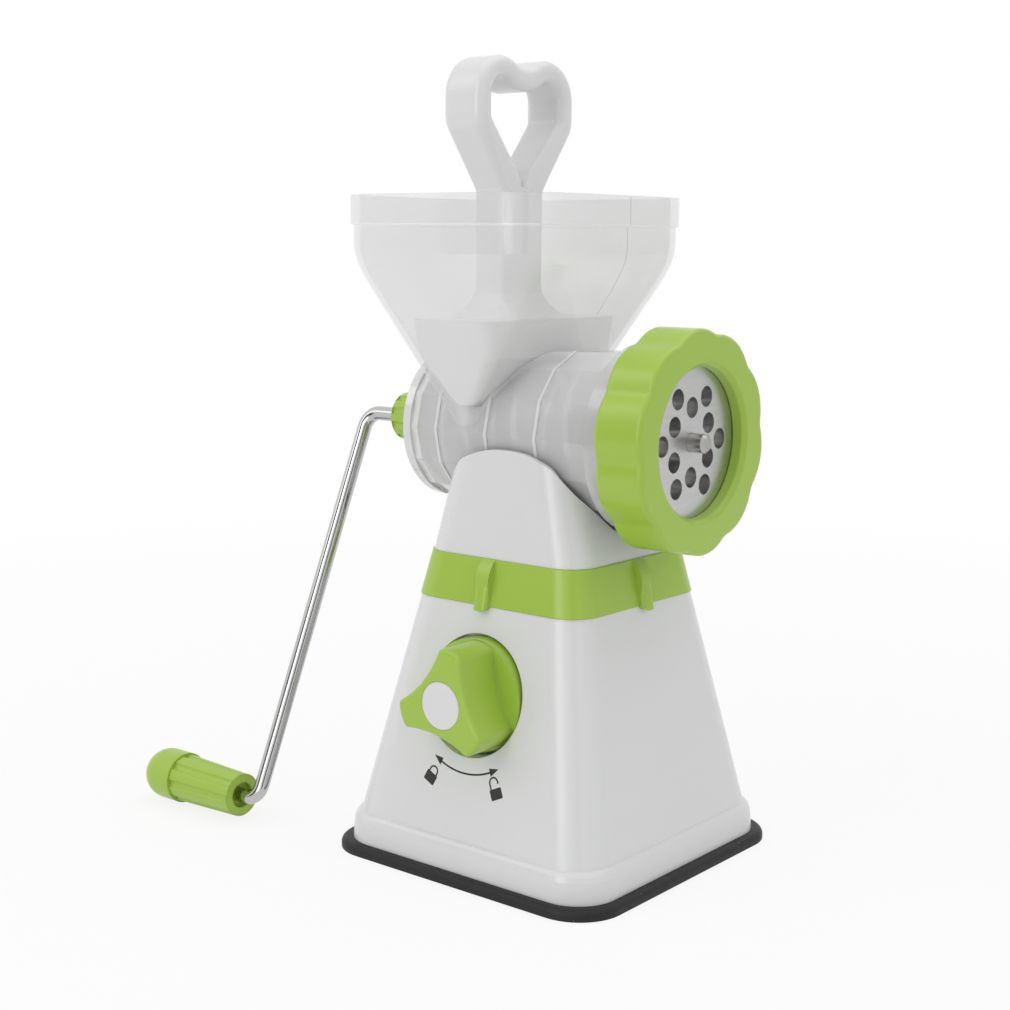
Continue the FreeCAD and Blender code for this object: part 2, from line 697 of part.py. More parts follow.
def barrel_outer(grow=0.0):
    """Twelve-sided tapered outside of the barrel between its flanges, with its hoops."""
    skin = loft([polygon_wire(BODY_BACK, BARREL_REAR_RADIUS + grow),
                 polygon_wire(FRONT_FLANGE_X, BARREL_FRONT_RADIUS + grow)])
    for x in HOOP_PLACES:
        low = x - HOOP_WIDTH / 2 - grow
        high = x + HOOP_WIDTH / 2 + grow
        skin = skin.fuse(loft([polygon_wire(low, barrel_radius(low) + HOOP_PROUD + grow),
                               polygon_wire(high, barrel_radius(high) + HOOP_PROUD + grow)]))
    return skin


def barrel():
    """Clear barrel with flanges, hoops, a threaded nose and a pedestal."""
    body = barrel_outer()
    body = body.fuse(rod_x(REAR_FLANGE_RADIUS, BARREL_REAR, BODY_BACK))
    body = body.fuse(rod_x(FRONT_FLANGE_RADIUS, FRONT_FLANGE_X, FRONT_FLANGE_END))
    body = body.fuse(rod_x(NOSE_RADIUS, FRONT_FLANGE_END, NOSE_END))
    body = body.fuse(block((-PEDESTAL_HALF_X, -PEDESTAL_HALF_Y, DECK_TOP),
                           (PEDESTAL_HALF_X, PEDESTAL_HALF_Y, AXIS_Z)))
    pocket_top = AXIS_Z - barrel_radius(PEDESTAL_HALF_X) - HOOP_PROUD
    inset_x = PEDESTAL_HALF_X - PEDESTAL_WALL
    inset_y = PEDESTAL_HALF_Y - PEDESTAL_WALL
    body = body.cut(block((-inset_x, -inset_y, DECK_TOP), (inset_x, inset_y, pocket_top)))
    for x, y in four_places(BARREL_SCREW_X, BARREL_SCREW_Y):
        body = body.fuse(rod_z(POST_RADIUS, DECK_TOP, pocket_top, x, y))
    for x, y in four_places(BARREL_SCREW_X, BARREL_SCREW_Y):
        body = body.cut(rod_z(SCREW_RADIUS + RUN_FIT, DECK_TOP, BAND_TOP + SCREW_REACH, x, y))
    body = body.cut(rod_x(BORE_RADIUS, BORE_BACK, NOSE_END))
    body = body.cut(rod_x(BUSH_RADIUS, BARREL_REAR, BORE_BACK))
    mouth_back = DISC_BACK - SEAT_GAP
    body = body.cut(rod_x(DISC_RADIUS + BODY_GAP, mouth_back, NOSE_END))
    body = body.cut(funnel_inside())
    key_reach = DISC_RADIUS - KEY_DEPTH + BODY_GAP
    key = block((mouth_back - SEAT_GAP, -KEY_WIDTH / 2, AXIS_Z - NOSE_RADIUS + THREAD_RISE),
                (NOSE_END, KEY_WIDTH / 2, AXIS_Z - key_reach))
    ridge = thread_ridge(NOSE_RADIUS, NOSE_RADIUS + THREAD_RISE, THREAD_START)
    return one_solid(body.fuse(key)).fuse(ridge).Solids[0]


def funnel_wires(inset):
    """Sections of the hopper from its shoulder down to the tip, moved in by a wall."""
    wires = []
    for step in range(SHOULDER_STEPS + 1):
        share = step / SHOULDER_STEPS
        ease = 1.0 - math.cos(share * math.pi / 2)
        z = between(SHOULDER_TOP, SHOULDER_BOTTOM, share)
        half_x = between(RIM_HALF_X - RIM_STEP, SHOULDER_HALF_X, ease)
        half_y = between(RIM_HALF_Y - RIM_STEP, SHOULDER_HALF_Y, ease)
        corner = between(RIM_CORNER - RIM_STEP, SHOULDER_CORNER, ease)
        wires.append(rounded_wire(half_x - inset, half_y - inset, corner - inset, z, HOPPER_X))
    return wires


def funnel_sizes(z, inset):
    """Half widths, corner radius and centre of the hopper's straight lower walls at height z."""
    share = (z - TIP_Z) / (SHOULDER_BOTTOM - TIP_Z)
    half_x = between(TIP_HALF_X, SHOULDER_HALF_X, share) - inset * math.hypot(1.0, funnel_slope())
    half_y = between(TIP_HALF_Y, SHOULDER_HALF_Y, share) - inset
    corner = max(between(TIP_CORNER, SHOULDER_CORNER, share) - inset, TIP_CORNER / 2)
    return half_x, half_y, corner, between(HOPPER_TIP_X, HOPPER_X, share)


def funnel_slope():
    """Spread of the hopper's lower walls in X for each step up."""
    return (SHOULDER_HALF_X - TIP_HALF_X) / (SHOULDER_BOTTOM - TIP_Z)


def funnel_section(z, inset):
    """Section of the hopper's straight lower walls at height z."""
    half_x, half_y, corner, centre = funnel_sizes(z, inset)
    return rounded_wire(half_x, half_y, corner, z, centre)


def funnel_inside(inset=HOPPER_WALL):
    """Space inside the hopper, from the funnel's floor to the rim."""
    top = rounded_wire(RIM_HALF_X - RIM_STEP - inset, RIM_HALF_Y - RIM_STEP - inset,
                       RIM_CORNER - RIM_STEP - inset, RIM_TOP, HOPPER_X)
    return loft([top] + funnel_wires(inset) + [funnel_section(FLOOR_Z, inset)])


def hopper():
    """Clear feed hopper whose lower walls straddle the barrel in a V."""
    rim_bottom = RIM_TOP - RIM_HEIGHT
    rim = prism(RIM_HALF_X, RIM_HALF_Y, RIM_CORNER, rim_bottom, RIM_TOP, HOPPER_X)
    neck = rounded_wire(RIM_HALF_X - RIM_STEP, RIM_HALF_Y - RIM_STEP, RIM_CORNER - RIM_STEP,
                        rim_bottom, HOPPER_X)
    outer = loft([neck] + funnel_wires(0.0) + [funnel_section(TIP_Z, 0.0)])
    body = outer.fuse(rim).cut(funnel_inside())
    body = body.cut(barrel_outer(SADDLE_GLUE))
    return one_solid(body)


def loop_arc(centre_y, centre_z, radius, first, last):
    """Arc in the handle loop's plane between two angles."""
    points = []
    for angle in (first, (first + last) / 2, last):
        y = centre_y + radius * math.cos(angle)
        points.append(Vector(STEM_CENTRE, y, centre_z + radius * math.sin(angle)))
    return Part.Arc(*points).toShape()


def limb_path():
    """Centre line of one limb of the handle loop, with its lean and its first bend."""
    bend_y = LOOP_HALF - LOOP_BEND
    foot_y = LOOP_FOOT_HALF + LOOP_FOOT_BEND
    away_y = bend_y - foot_y
    away_z = LOOP_BEND_Z - LOOP_FOOT_Z
    lean = math.atan2(away_z, away_y) - math.asin((LOOP_FOOT_BEND + LOOP_BEND) / math.hypot(away_y, away_z))
    foot = loop_arc(foot_y, LOOP_FOOT_Z, LOOP_FOOT_BEND, math.pi, lean + math.pi / 2)
    bend = loop_arc(bend_y, LOOP_BEND_Z, LOOP_BEND, lean - math.pi / 2, 0.0)
    limb = Part.LineSegment(foot.Vertexes[1].Point, bend.Vertexes[0].Point).toShape()
    lobe_y = LOOP_HALF - LOOP_LOBE_RADIUS
    rise = LOOP_DIP_Z - LOOP_LOBE_Z
    dip_radius = (lobe_y ** 2 + rise ** 2 - LOOP_LOBE_RADIUS ** 2) / (2 * (LOOP_LOBE_RADIUS - rise))
    dip_z = LOOP_DIP_Z + dip_radius
    turn = math.atan2(dip_z - LOOP_LOBE_Z, -lobe_y)
    lobe = loop_arc(lobe_y, LOOP_LOBE_Z, LOOP_LOBE_RADIUS, 0.0, turn)
    side = Part.LineSegment(bend.Vertexes[1].Point, lobe.Vertexes[0].Point).toShape()
    dip = loop_arc(0.0, dip_z, dip_radius, turn - math.pi, -math.pi / 2)
    return Part.Wire([foot, limb, bend, side, lobe, dip]), lean, bend.Vertexes[0].Point


def loop_section(thick, width, corner, turn, place):
    """Section of the handle strap, turned across its centre line."""
    section = rounded_wire(thick / 2, width / 2, corner, 0.0)
    section.rotate(ORIGIN, DOWN_X, math.degrees(turn) - 90.0)
    section.translate(place)
    return section


def plug_wire(half_x, z, inset):
    """Section of the pusher's plug with a given half width, inside the hopper's walls."""
    half_y, centre = funnel_sizes(z, inset)[1::2]
    corner = min(FOOT_CORNER, FOOT_CORNER_SHARE * half_x)
    return rounded_wire(half_x, min(half_y, FOOT_HALF_Y), corner, z, centre)


def pusher_plug():
    """Plug with a rounded keel that follows the funnel's walls and straddles the auger."""
    inset = HOPPER_WALL + BODY_GAP
    slope = funnel_slope()
    floor_half = funnel_sizes(FLOOR_Z, inset)[0]
    round_z = FLOOR_Z + (FOOT_TIP_ROUND * math.hypot(1.0, slope) - floor_half) / slope
    wires = []
    for bend in range(1, FOOT_TIP_BENDS + 1):
        turn = math.atan2(1.0, slope) * bend / FOOT_TIP_BENDS
        z = round_z - FOOT_TIP_ROUND * math.cos(turn)
        wires.append(plug_wire(FOOT_TIP_ROUND * math.sin(turn), z, inset))
    full_z = FLOOR_Z + (FOOT_HALF_X - floor_half) / slope
    for z in (full_z, FOOT_TOP):
        wires.append(plug_wire(FOOT_HALF_X, z, inset))
    return loft(wires).cut(rod_x(AUGER_RADIUS + FOOT_SADDLE_GAP, BARREL_REAR, NOSE_END))


def pusher():
    """White pusher: looped handle, stem and a plug that follows the funnel."""
    plug = pusher_plug()
    half_x = STEM_X / 2
    half_y = STEM_Y / 2
    stem = prism(half_x, half_y, STEM_CORNER, FOOT_TOP - STEM_SINK, STEM_TOP, STEM_CENTRE)
    flare = []
    for share in (0.0, 0.25, 0.5, 0.75, 1.0):
        spread = FLARE_SPREAD * (1.0 - share) ** 2
        flare.append(rounded_wire(half_x + spread, half_y + spread, STEM_CORNER + spread / 2,
                                  FOOT_TOP + FLARE_HEIGHT * share, STEM_CENTRE))
    path, lean, first_bend = limb_path()
    foot = Vector(STEM_CENTRE, LOOP_FOOT_HALF, LOOP_FOOT_Z)
    dip = Vector(STEM_CENTRE, 0, LOOP_DIP_Z)
    sections = [loop_section(STEM_X, LOOP_FOOT_WIDTH, STEM_CORNER, math.pi / 2, foot),
                loop_section(LOOP_THICK, LOOP_WIDTH, LOOP_ROUND, lean, first_bend),
                loop_section(LOOP_THICK, LOOP_WIDTH, LOOP_ROUND, math.pi, dip)]
    limb = path.makePipeShell(sections, True, True)
    mirrored = limb.mirror(ORIGIN, DOWN_Y)
    return one_solid(plug.fuse(stem).fuse(loft(flare)).fuse(limb).fuse(mirrored))


def rear_bush():
    """Flanged bush in the barrel's rear wall."""
    bush = rod_x(BUSH_RADIUS - PRESS_FIT, BARREL_REAR, BORE_BACK)
    bush = bush.fuse(rod_x(BUSH_FLANGE_RADIUS, BUSH_BACK, BARREL_REAR))
    return one_solid(bush.cut(rod_x(SHAFT_RADIUS + RUN_FIT, BUSH_BACK, BORE_BACK)))


def rear_seal():
    """Rubber washer on the bush's outer face."""
    return rod_x(SEAL_RADIUS, SEAL_BACK, BUSH_BACK).cut(rod_x(SHAFT_RADIUS + RUN_FIT, SEAL_BACK, BUSH_BACK))


def drive_shaft():
    """Steel shaft, round in the bush and hexagonal in the auger and the hub."""
    inner_end = AUGER_BACK + SHAFT_AUGER_DEPTH
    outer_end = HUB_FRONT - SHAFT_HUB_DEPTH
    shaft = hexagon_x(SHAFT_HEX_RADIUS, outer_end, inner_end)
    return one_solid(shaft.fuse(rod_x(SHAFT_RADIUS, HUB_FRONT, AUGER_BACK)))


def thrust_washer():
    """Washer between the auger and the barrel's rear wall."""
    start = BORE_BACK + SEAT_GAP
    washer = rod_x(WASHER_RADIUS, start, start + WASHER_THICK)
    return washer.cut(rod_x(SHAFT_RADIUS + RUN_FIT, start, start + WASHER_THICK))


def auger():
    """White feed screw with a square end for the knife."""
    core = rod_x(AUGER_CORE, AUGER_BACK, AUGER_FRONT)
    flight_start = AUGER_BACK + AUGER_ROOT_WIDTH / 2
    flight_length = AUGER_FRONT - AUGER_BACK - AUGER_ROOT_WIDTH
    root = AUGER_CORE - AUGER_SINK
    helix = Part.makeHelix(AUGER_PITCH, flight_length, AUGER_CORE)
    half_root = AUGER_ROOT_WIDTH / 2
    half_tip = AUGER_TIP_WIDTH / 2
    profile = Part.makePolygon([Vector(root, 0, -half_root), Vector(AUGER_RADIUS, 0, -half_tip),
                                Vector(AUGER_RADIUS, 0, half_tip), Vector(root, 0, half_root),
                                Vector(root, 0, -half_root)])
    flight = Part.Wire(helix.Edges).makePipeShell([profile], True, True)
    flight.rotate(ORIGIN, DOWN_Y, 90.0)
    flight.translate(Vector(flight_start, 0, AXIS_Z))
    screw = core.fuse(flight)
    side = AUGER_SQUARE / 2
    screw = screw.fuse(block((AUGER_FRONT, -side, AXIS_Z - side), (KNIFE_FRONT, side, AXIS_Z + side)))
    screw = screw.cut(rod_x(PIN_RADIUS + PRESS_FIT, KNIFE_FRONT - PIN_DEPTH, KNIFE_FRONT))
    screw = screw.cut(hexagon_x(SHAFT_HEX_RADIUS + PRESS_FIT, AUGER_BACK, AUGER_BACK + SHAFT_AUGER_DEPTH))
    return one_solid(screw)


def auger_pin():
    """Steel pin that carries the auger's front end in the cutting plate."""
    straight = PIN_TIP - PIN_CHAMFER
    pin = rod_x(PIN_RADIUS, KNIFE_FRONT - PIN_DEPTH, straight)
    return one_solid(pin.fuse(cone_x(PIN_RADIUS, PIN_RADIUS - PIN_CHAMFER, straight, PIN_TIP)))


def knife():
    """Cross-shaped steel knife on the auger's square end."""
    hub = rod_x(KNIFE_HUB, KNIFE_BACK, KNIFE_FRONT)
    half = KNIFE_BLADE_WIDTH / 2
    outline = [(-half, 0.0), (half, 0.0), (half * 0.3, KNIFE_RADIUS), (-half, KNIFE_RADIUS)]
    points = [Vector(KNIFE_BACK, y, AXIS_Z + z) for y, z in outline]
    blade = Part.Face(Part.makePolygon(points + points[:1])).extrude(Vector(KNIFE_THICK, 0, 0))
    for copy in around_x(blade, KNIFE_BLADES):
        hub = hub.fuse(copy)
    side = AUGER_SQUARE / 2 + PRESS_FIT
    return one_solid(hub.cut(block((KNIFE_BACK, -side, AXIS_Z - side), (KNIFE_FRONT, side, AXIS_Z + side))))


def cutting_plate():
    """Steel plate with two rings of holes, a centre bore and a key slot."""
    disc = rod_x(DISC_RADIUS, DISC_BACK, DISC_FRONT)
    step = 360.0 / DISC_HOLES_PER_CIRCLE
    for circle, start in ((DISC_INNER_CIRCLE, step / 2), (DISC_OUTER_CIRCLE, 0.0)):
        hole = rod_x(DISC_HOLE_RADIUS, DISC_BACK, DISC_FRONT, circle)
        for copy in around_x(hole, DISC_HOLES_PER_CIRCLE, start=start):
            disc = disc.cut(copy)
    disc = disc.cut(rod_x(PIN_RADIUS + RUN_FIT, DISC_BACK, DISC_FRONT))
    slot_half = KEY_WIDTH / 2 + BODY_GAP
    slot = block((DISC_BACK, -slot_half, AXIS_Z - DISC_RADIUS - KEY_DEPTH),
                 (DISC_FRONT, slot_half, AXIS_Z - DISC_RADIUS + KEY_DEPTH))
    return one_solid(disc.cut(slot))


def ring_outline(x):
    """Soft crests and hollows around the ring nut, as tangent arcs in the plane at x."""
    half_step = math.pi / SCALLOPS
    hollow_out = RING_RADIUS - SCALLOP_DEPTH + SCALLOP_RADIUS
    across = hollow_out * math.cos(half_step)
    crest_radius = (RING_RADIUS ** 2 + hollow_out ** 2 - SCALLOP_RADIUS ** 2 - 2 * RING_RADIUS * across)
    crest_radius /= 2 * (RING_RADIUS + SCALLOP_RADIUS - across)
    crest_out = RING_RADIUS - crest_radius

    def place(out, angle):
        return Vector(x, out * math.cos(angle), AXIS_Z + out * math.sin(angle))

    def meeting(hollow, crest):
        start = place(crest_out, crest)
        towards = place(hollow_out, hollow) - start
        return start + towards * (crest_radius / towards.Length)

    edges = []
    for index in range(SCALLOPS):
        hollow = math.radians(SCALLOP_TURN) + 2 * half_step * index
        crest = hollow + half_step
        first = meeting(hollow, hollow - half_step)
        second = meeting(hollow, crest)
        third = meeting(crest + half_step, crest)
        edges.append(Part.Arc(first, place(hollow_out - SCALLOP_RADIUS, hollow), second).toShape())
        edges.append(Part.Arc(second, place(RING_RADIUS, crest), third).toShape())
    return Part.Wire(edges)


def ring_nut():
    """Green scalloped ring nut with an inner thread and a front lip."""
    ring = Part.Face(ring_outline(RING_BACK)).extrude(Vector(RING_LENGTH, 0, 0))
    rims = [edge for edge in ring.Edges if edge.BoundBox.XLength < FACE_GAP]
    ring = ring.makeFillet(RING_ROUND, rims)
    ring = ring.cut(rod_x(NUT_THREAD_RADIUS, RING_BACK, DISC_FRONT + SEAT_GAP))
    ring = ring.cut(rod_x(RING_OPENING, DISC_FRONT, RING_FRONT))
    ring = ring.cut(cone_x(RING_OPENING, RING_OPENING + RING_BEVEL, RING_FRONT - RING_BEVEL, RING_FRONT))
    start = THREAD_START + THREAD_PITCH / 2
    ridge = thread_ridge(NUT_THREAD_RADIUS, NUT_THREAD_RADIUS - THREAD_RISE, start)
    return one_solid(ring).fuse(ridge).Solids[0]


def fluted_cone(rear_radius, front_radius, rear, front, count, flute_radius, depth, y=0.0, z=AXIS_Z):
    """Cone along X with rounded grooves down its length."""
    body = cone_x(rear_radius, front_radius, rear, front, y, z)
    start = Vector(rear, y, z + rear_radius + flute_radius - depth)
    end = Vector(front, y, z + front_radius + flute_radius - depth)
    groove = Part.makeCylinder(flute_radius, start.distanceToPoint(end), start, end - start)
    for copy in around_x(groove, count, y, z):
        body = body.cut(copy)
    return body


def crank_hub():
    """Green fluted hub on the drive shaft's outer end."""
    hub = fluted_cone(HUB_REAR_RADIUS, HUB_FRONT_RADIUS, HUB_REAR, HUB_FRONT, HUB_FLUTES,
                      HUB_FLUTE_RADIUS, HUB_FLUTE_DEPTH)
    dome = cone_x(HUB_REAR_RADIUS - HUB_FLUTE_DEPTH - HUB_DOME, HUB_REAR_RADIUS - HUB_FLUTE_DEPTH,
                  HUB_REAR - HUB_DOME, HUB_REAR)
    hub = hub.fuse(dome)
    socket_end = HUB_FRONT - SHAFT_HUB_DEPTH - SEAT_GAP
    hub = hub.cut(hexagon_x(SHAFT_HEX_RADIUS + PRESS_FIT, socket_end, HUB_FRONT))
    rear = HUB_REAR - HUB_DOME
    hub = hub.cut(rod_x(ROD_RADIUS + PRESS_FIT, rear, rear + ROD_HUB_DEPTH))
    return one_solid(hub)


def crank_rod():
    """Bent chrome rod from the hub down the arm and into the grip."""
    down = Vector(0, -math.sin(ARM_ANGLE), -math.cos(ARM_ANGLE))
    start = Vector(HUB_REAR - HUB_DOME + ROD_HUB_DEPTH - SEAT_GAP, 0, AXIS_Z)
    top = Vector(ARM_X, 0, AXIS_Z)
    low = Vector(ARM_X, GRIP_Y, GRIP_Z)
    end = Vector(ROD_END_X, GRIP_Y, GRIP_Z)
    soft = 1.0 - math.sqrt(0.5)
    top_in = top + DOWN_X * ROD_TOP_BEND
    top_out = top + down * ROD_TOP_BEND
    top_middle = top + (DOWN_X + down) * (ROD_TOP_BEND * soft)
    low_in = low - down * ROD_GRIP_BEND
    low_out = low - DOWN_X * ROD_GRIP_BEND
    low_middle = low - (down + DOWN_X) * (ROD_GRIP_BEND * soft)
    path = Part.Wire([Part.LineSegment(start, top_in).toShape(),
                      Part.Arc(top_in, top_middle, top_out).toShape(),
                      Part.LineSegment(top_out, low_in).toShape(),
                      Part.Arc(low_in, low_middle, low_out).toShape(),
                      Part.LineSegment(low_out, end).toShape()])
    circle = Part.Wire(Part.makeCircle(ROD_RADIUS, start, DOWN_X))
    return path.makePipeShell([circle], True, True)


def grip_sleeve():
    """Green fluted sleeve that turns on the crank rod."""
    sleeve = fluted_cone(GRIP_END_RADIUS, GRIP_ROOT_RADIUS, GRIP_END_X, GRIP_ROOT_X, GRIP_FLUTES,
                         GRIP_FLUTE_RADIUS, GRIP_FLUTE_DEPTH, GRIP_Y, GRIP_Z)
    sleeve = sleeve.cut(rod_x(GRIP_MOUTH_RADIUS, GRIP_ROOT_X - GRIP_MOUTH_DEPTH, GRIP_ROOT_X, GRIP_Y, GRIP_Z))
    sleeve = sleeve.cut(rod_x(ROD_RADIUS + RUN_FIT, GRIP_END_X, GRIP_ROOT_X, GRIP_Y, GRIP_Z))
    return one_solid(sleeve.cut(rod_x(GRIP_POCKET_RADIUS, GRIP_END_X, POCKET_X, GRIP_Y, GRIP_Z)))


def grip_cap():
    """Green dome that closes the grip's end."""
    dome_radius = CAP_RADIUS
    straight = CAP_LENGTH - dome_radius
    dome_x = GRIP_END_X - straight
    cap = rod_x(CAP_RADIUS, dome_x, GRIP_END_X, GRIP_Y, GRIP_Z)
    ball = Part.makeSphere(dome_radius, Vector(dome_x, GRIP_Y, GRIP_Z))
    cap = cap.fuse(ball.cut(rod_x(2 * dome_radius, dome_x, dome_x + 2 * dome_radius, GRIP_Y, GRIP_Z)))
    plug = rod_x(GRIP_POCKET_RADIUS - PRESS_FIT, GRIP_END_X, GRIP_END_X + CAP_PLUG, GRIP_Y, GRIP_Z)
    return one_solid(cap.fuse(plug))


def grip_retainer():
    """Push-on washer that holds the grip on the rod."""
    end = RETAINER_X - RETAINER_THICK
    washer = rod_x(RETAINER_RADIUS, end, RETAINER_X, GRIP_Y, GRIP_Z)
    return washer.cut(rod_x(ROD_RADIUS + PRESS_FIT, end, RETAINER_X, GRIP_Y, GRIP_Z))


def lobe_point(angle, along, side, y):
    """Point of a knob lobe, along it and to its side, in the plane at y."""
    return Vector(KNOB_X + along * math.cos(angle) - side * math.sin(angle), y,
                  KNOB_Z + along * math.sin(angle) + side * math.cos(angle))


def lobe_outline(y):
    """Three blunt lobes joined by hollow sides, in the plane at y."""
    edges = []
    step = 2 * math.pi / KNOB_LOBES
    half = LOBE_WIDTH / 2
    shoulder = LOBE_TIP - LOBE_TIP_DROP
    for index in range(KNOB_LOBES):
        angle = math.radians(LOBE_ANGLE) + index * step
        end = lobe_point(angle, shoulder, half, y)
        begin = lobe_point(angle, shoulder, -half, y)
        edges.append(Part.Arc(begin, lobe_point(angle, LOBE_TIP, 0.0, y), end).toShape())
        waist = lobe_point(angle + step / 2, LOBE_WAIST, 0.0, y)
        edges.append(Part.Arc(end, waist, lobe_point(angle + step, shoulder, -half, y)).toShape())
    return Part.Wire(edges)


def lock_knob():
    """Green three-lobed knob on a round disc."""
    back = -RECESS_FLOOR - BODY_GAP
    disc = rod_y(KNOB_DISC_RADIUS, -KNOB_DISC_FACE, back)
    lobes = Part.Face(lobe_outline(-KNOB_FACE)).extrude(Vector(0, KNOB_FACE - KNOB_DISC_FACE, 0))
    corners = [edge for edge in lobes.Edges if edge.BoundBox.YLength > KNOB_FACE - KNOB_DISC_FACE - FACE_GAP]
    lobes = lobes.makeFillet(LOBE_CORNER_ROUND, corners)
    front = [edge for edge in lobes.Edges if edge.BoundBox.YMax < -KNOB_FACE + FACE_GAP]
    lobes = lobes.makeFillet(KNOB_ROUND, front)
    knob = disc.fuse(lobes)
    knob = knob.cut(rod_y(CAP_DISC_RADIUS + PRESS_FIT, -KNOB_FACE, -KNOB_FACE + CAP_DISC_THICK))
    pocket_floor = KNOB_FACE - CAP_DISC_THICK - KNOB_POCKET
    knob = knob.cut(rod_y(SCREW_HEAD_RADIUS + HOLE_SLACK, -KNOB_FACE, -pocket_floor))
    knob = knob.cut(rod_y(SCREW_RADIUS + HOLE_SLACK, -pocket_floor, -SHAFT_END))
    return one_solid(knob.cut(rod_y(CAM_SHAFT_RADIUS + PRESS_FIT, -SHAFT_END, back)))


def knob_cap():
    """White disc in the middle of the knob's face."""
    return rod_y(CAP_DISC_RADIUS, -KNOB_FACE, -KNOB_FACE + CAP_DISC_THICK)


def knob_screw():
    """Screw that holds the knob on the cam shaft."""
    seat = KNOB_FACE - CAP_DISC_THICK - KNOB_POCKET
    head = rod_y(SCREW_HEAD_RADIUS, -seat - SCREW_HEAD_HEIGHT, -seat)
    return one_solid(head.fuse(rod_y(SCREW_RADIUS, -seat, -seat + KNOB_SCREW_REACH)))


def cam_radius(angle):
    """Cam radius at an angle past the follower, in degrees: a steady spiral, then a return."""
    rate = CAM_LIFT / LOCK_ANGLE
    spiral_end = LOCK_ANGLE + CAM_RUN_OUT
    if angle <= spiral_end:
        return CAM_START_RADIUS + rate * angle
    span = 360.0 - CAM_RUN_OUT - spiral_end
    return between(CAM_START_RADIUS + rate * spiral_end, CAM_START_RADIUS - rate * CAM_RUN_OUT,
                   (angle - spiral_end) / span)


def cam_shaft():
    """Steel shaft with a collar and a spiral cam that lifts the follower."""
    shaft = rod_y(CAM_SHAFT_RADIUS, -SHAFT_END, CAM_HALF_WIDTH)
    collar_start = -CAM_BEARING_END + BODY_GAP
    shaft = shaft.fuse(rod_y(COLLAR_RADIUS, collar_start, collar_start + COLLAR_WIDTH))
    points = []
    for index in range(CAM_POINTS):
        angle = -CAM_RUN_OUT + 360.0 * index / CAM_POINTS
        turn = math.radians(angle + 90.0)
        radius = cam_radius(angle)
        x = KNOB_X + radius * math.cos(turn)
        points.append(Vector(x, -CAM_HALF_WIDTH, KNOB_Z + radius * math.sin(turn)))
    face = Part.Face(Part.makePolygon(points + points[:1]))
    shaft = shaft.fuse(face.extrude(Vector(0, 2 * CAM_HALF_WIDTH, 0)))
    seat = KNOB_FACE - CAP_DISC_THICK - KNOB_POCKET
    return one_solid(shaft.cut(rod_y(SCREW_RADIUS + RUN_FIT, -SHAFT_END, -seat + KNOB_SCREW_REACH)))


def yoke_inside():
    """Half distance between the yoke's two plates."""
    return CAM_HALF_WIDTH + YOKE_SIDE_GAP


def lift_yoke():
    """Steel yoke round the cam, with a web below for the stud."""
    inside = yoke_inside()
    outside = inside + YOKE_PLATE
    top = FOLLOWER_Z + YOKE_HEAD
    left = KNOB_X - YOKE_HALF_X
    right = KNOB_X + YOKE_HALF_X
    yoke = block((left, -outside, YOKE_WEB_Z), (right, outside, top))
    yoke = yoke.cut(block((left, -inside, YOKE_WEB_Z + YOKE_WEB), (right, inside, top)))
    slot_half = CAM_SHAFT_RADIUS + BODY_GAP
    slot_low = KNOB_Z - CAM_LIFT
    slot = block((KNOB_X - slot_half, -outside, slot_low), (KNOB_X + slot_half, -inside, KNOB_Z))
    for z in (slot_low, KNOB_Z):
        slot = slot.fuse(rod_y(slot_half, -outside, -inside, z=z))
    yoke = yoke.cut(slot)
    yoke = yoke.cut(rod_y(FOLLOWER_RADIUS + PRESS_FIT, -outside, outside, z=FOLLOWER_Z))
    return one_solid(yoke.cut(rod_z(STUD_RADIUS + PRESS_FIT, YOKE_WEB_Z, YOKE_WEB_Z + YOKE_WEB, KNOB_X)))


def follower_pin():
    """Cross pin that rides on the cam."""
    reach = yoke_inside() + YOKE_PLATE + SEAT_GAP
    return rod_y(FOLLOWER_RADIUS, -reach, reach, z=FOLLOWER_Z)


def pad_stud():
    """Stud moulded into the pad, run up through the guide to the yoke."""
    top = YOKE_WEB_Z + YOKE_WEB + NUT_HEIGHT
    stud = rod_z(STUD_RADIUS, STUD_FLANGE_Z, top, KNOB_X)
    flange = rod_z(STUD_FLANGE_RADIUS, STUD_FLANGE_Z, STUD_FLANGE_Z + STUD_FLANGE, KNOB_X)
    return one_solid(stud.fuse(flange))


def stud_nut():
    """Hexagon nut on top of the yoke's web."""
    bottom = YOKE_WEB_Z + YOKE_WEB
    corner = (yoke_inside() - BODY_GAP) / math.cos(math.radians(30.0))
    points = []
    for index in range(7):
        angle = math.radians(60.0 * index)
        points.append(Vector(KNOB_X + corner * math.cos(angle), corner * math.sin(angle), bottom))
    nut = Part.Face(Part.makePolygon(points)).extrude(Vector(0, 0, NUT_HEIGHT))
    return nut.cut(rod_z(STUD_RADIUS + PRESS_FIT, bottom, bottom + NUT_HEIGHT, KNOB_X))


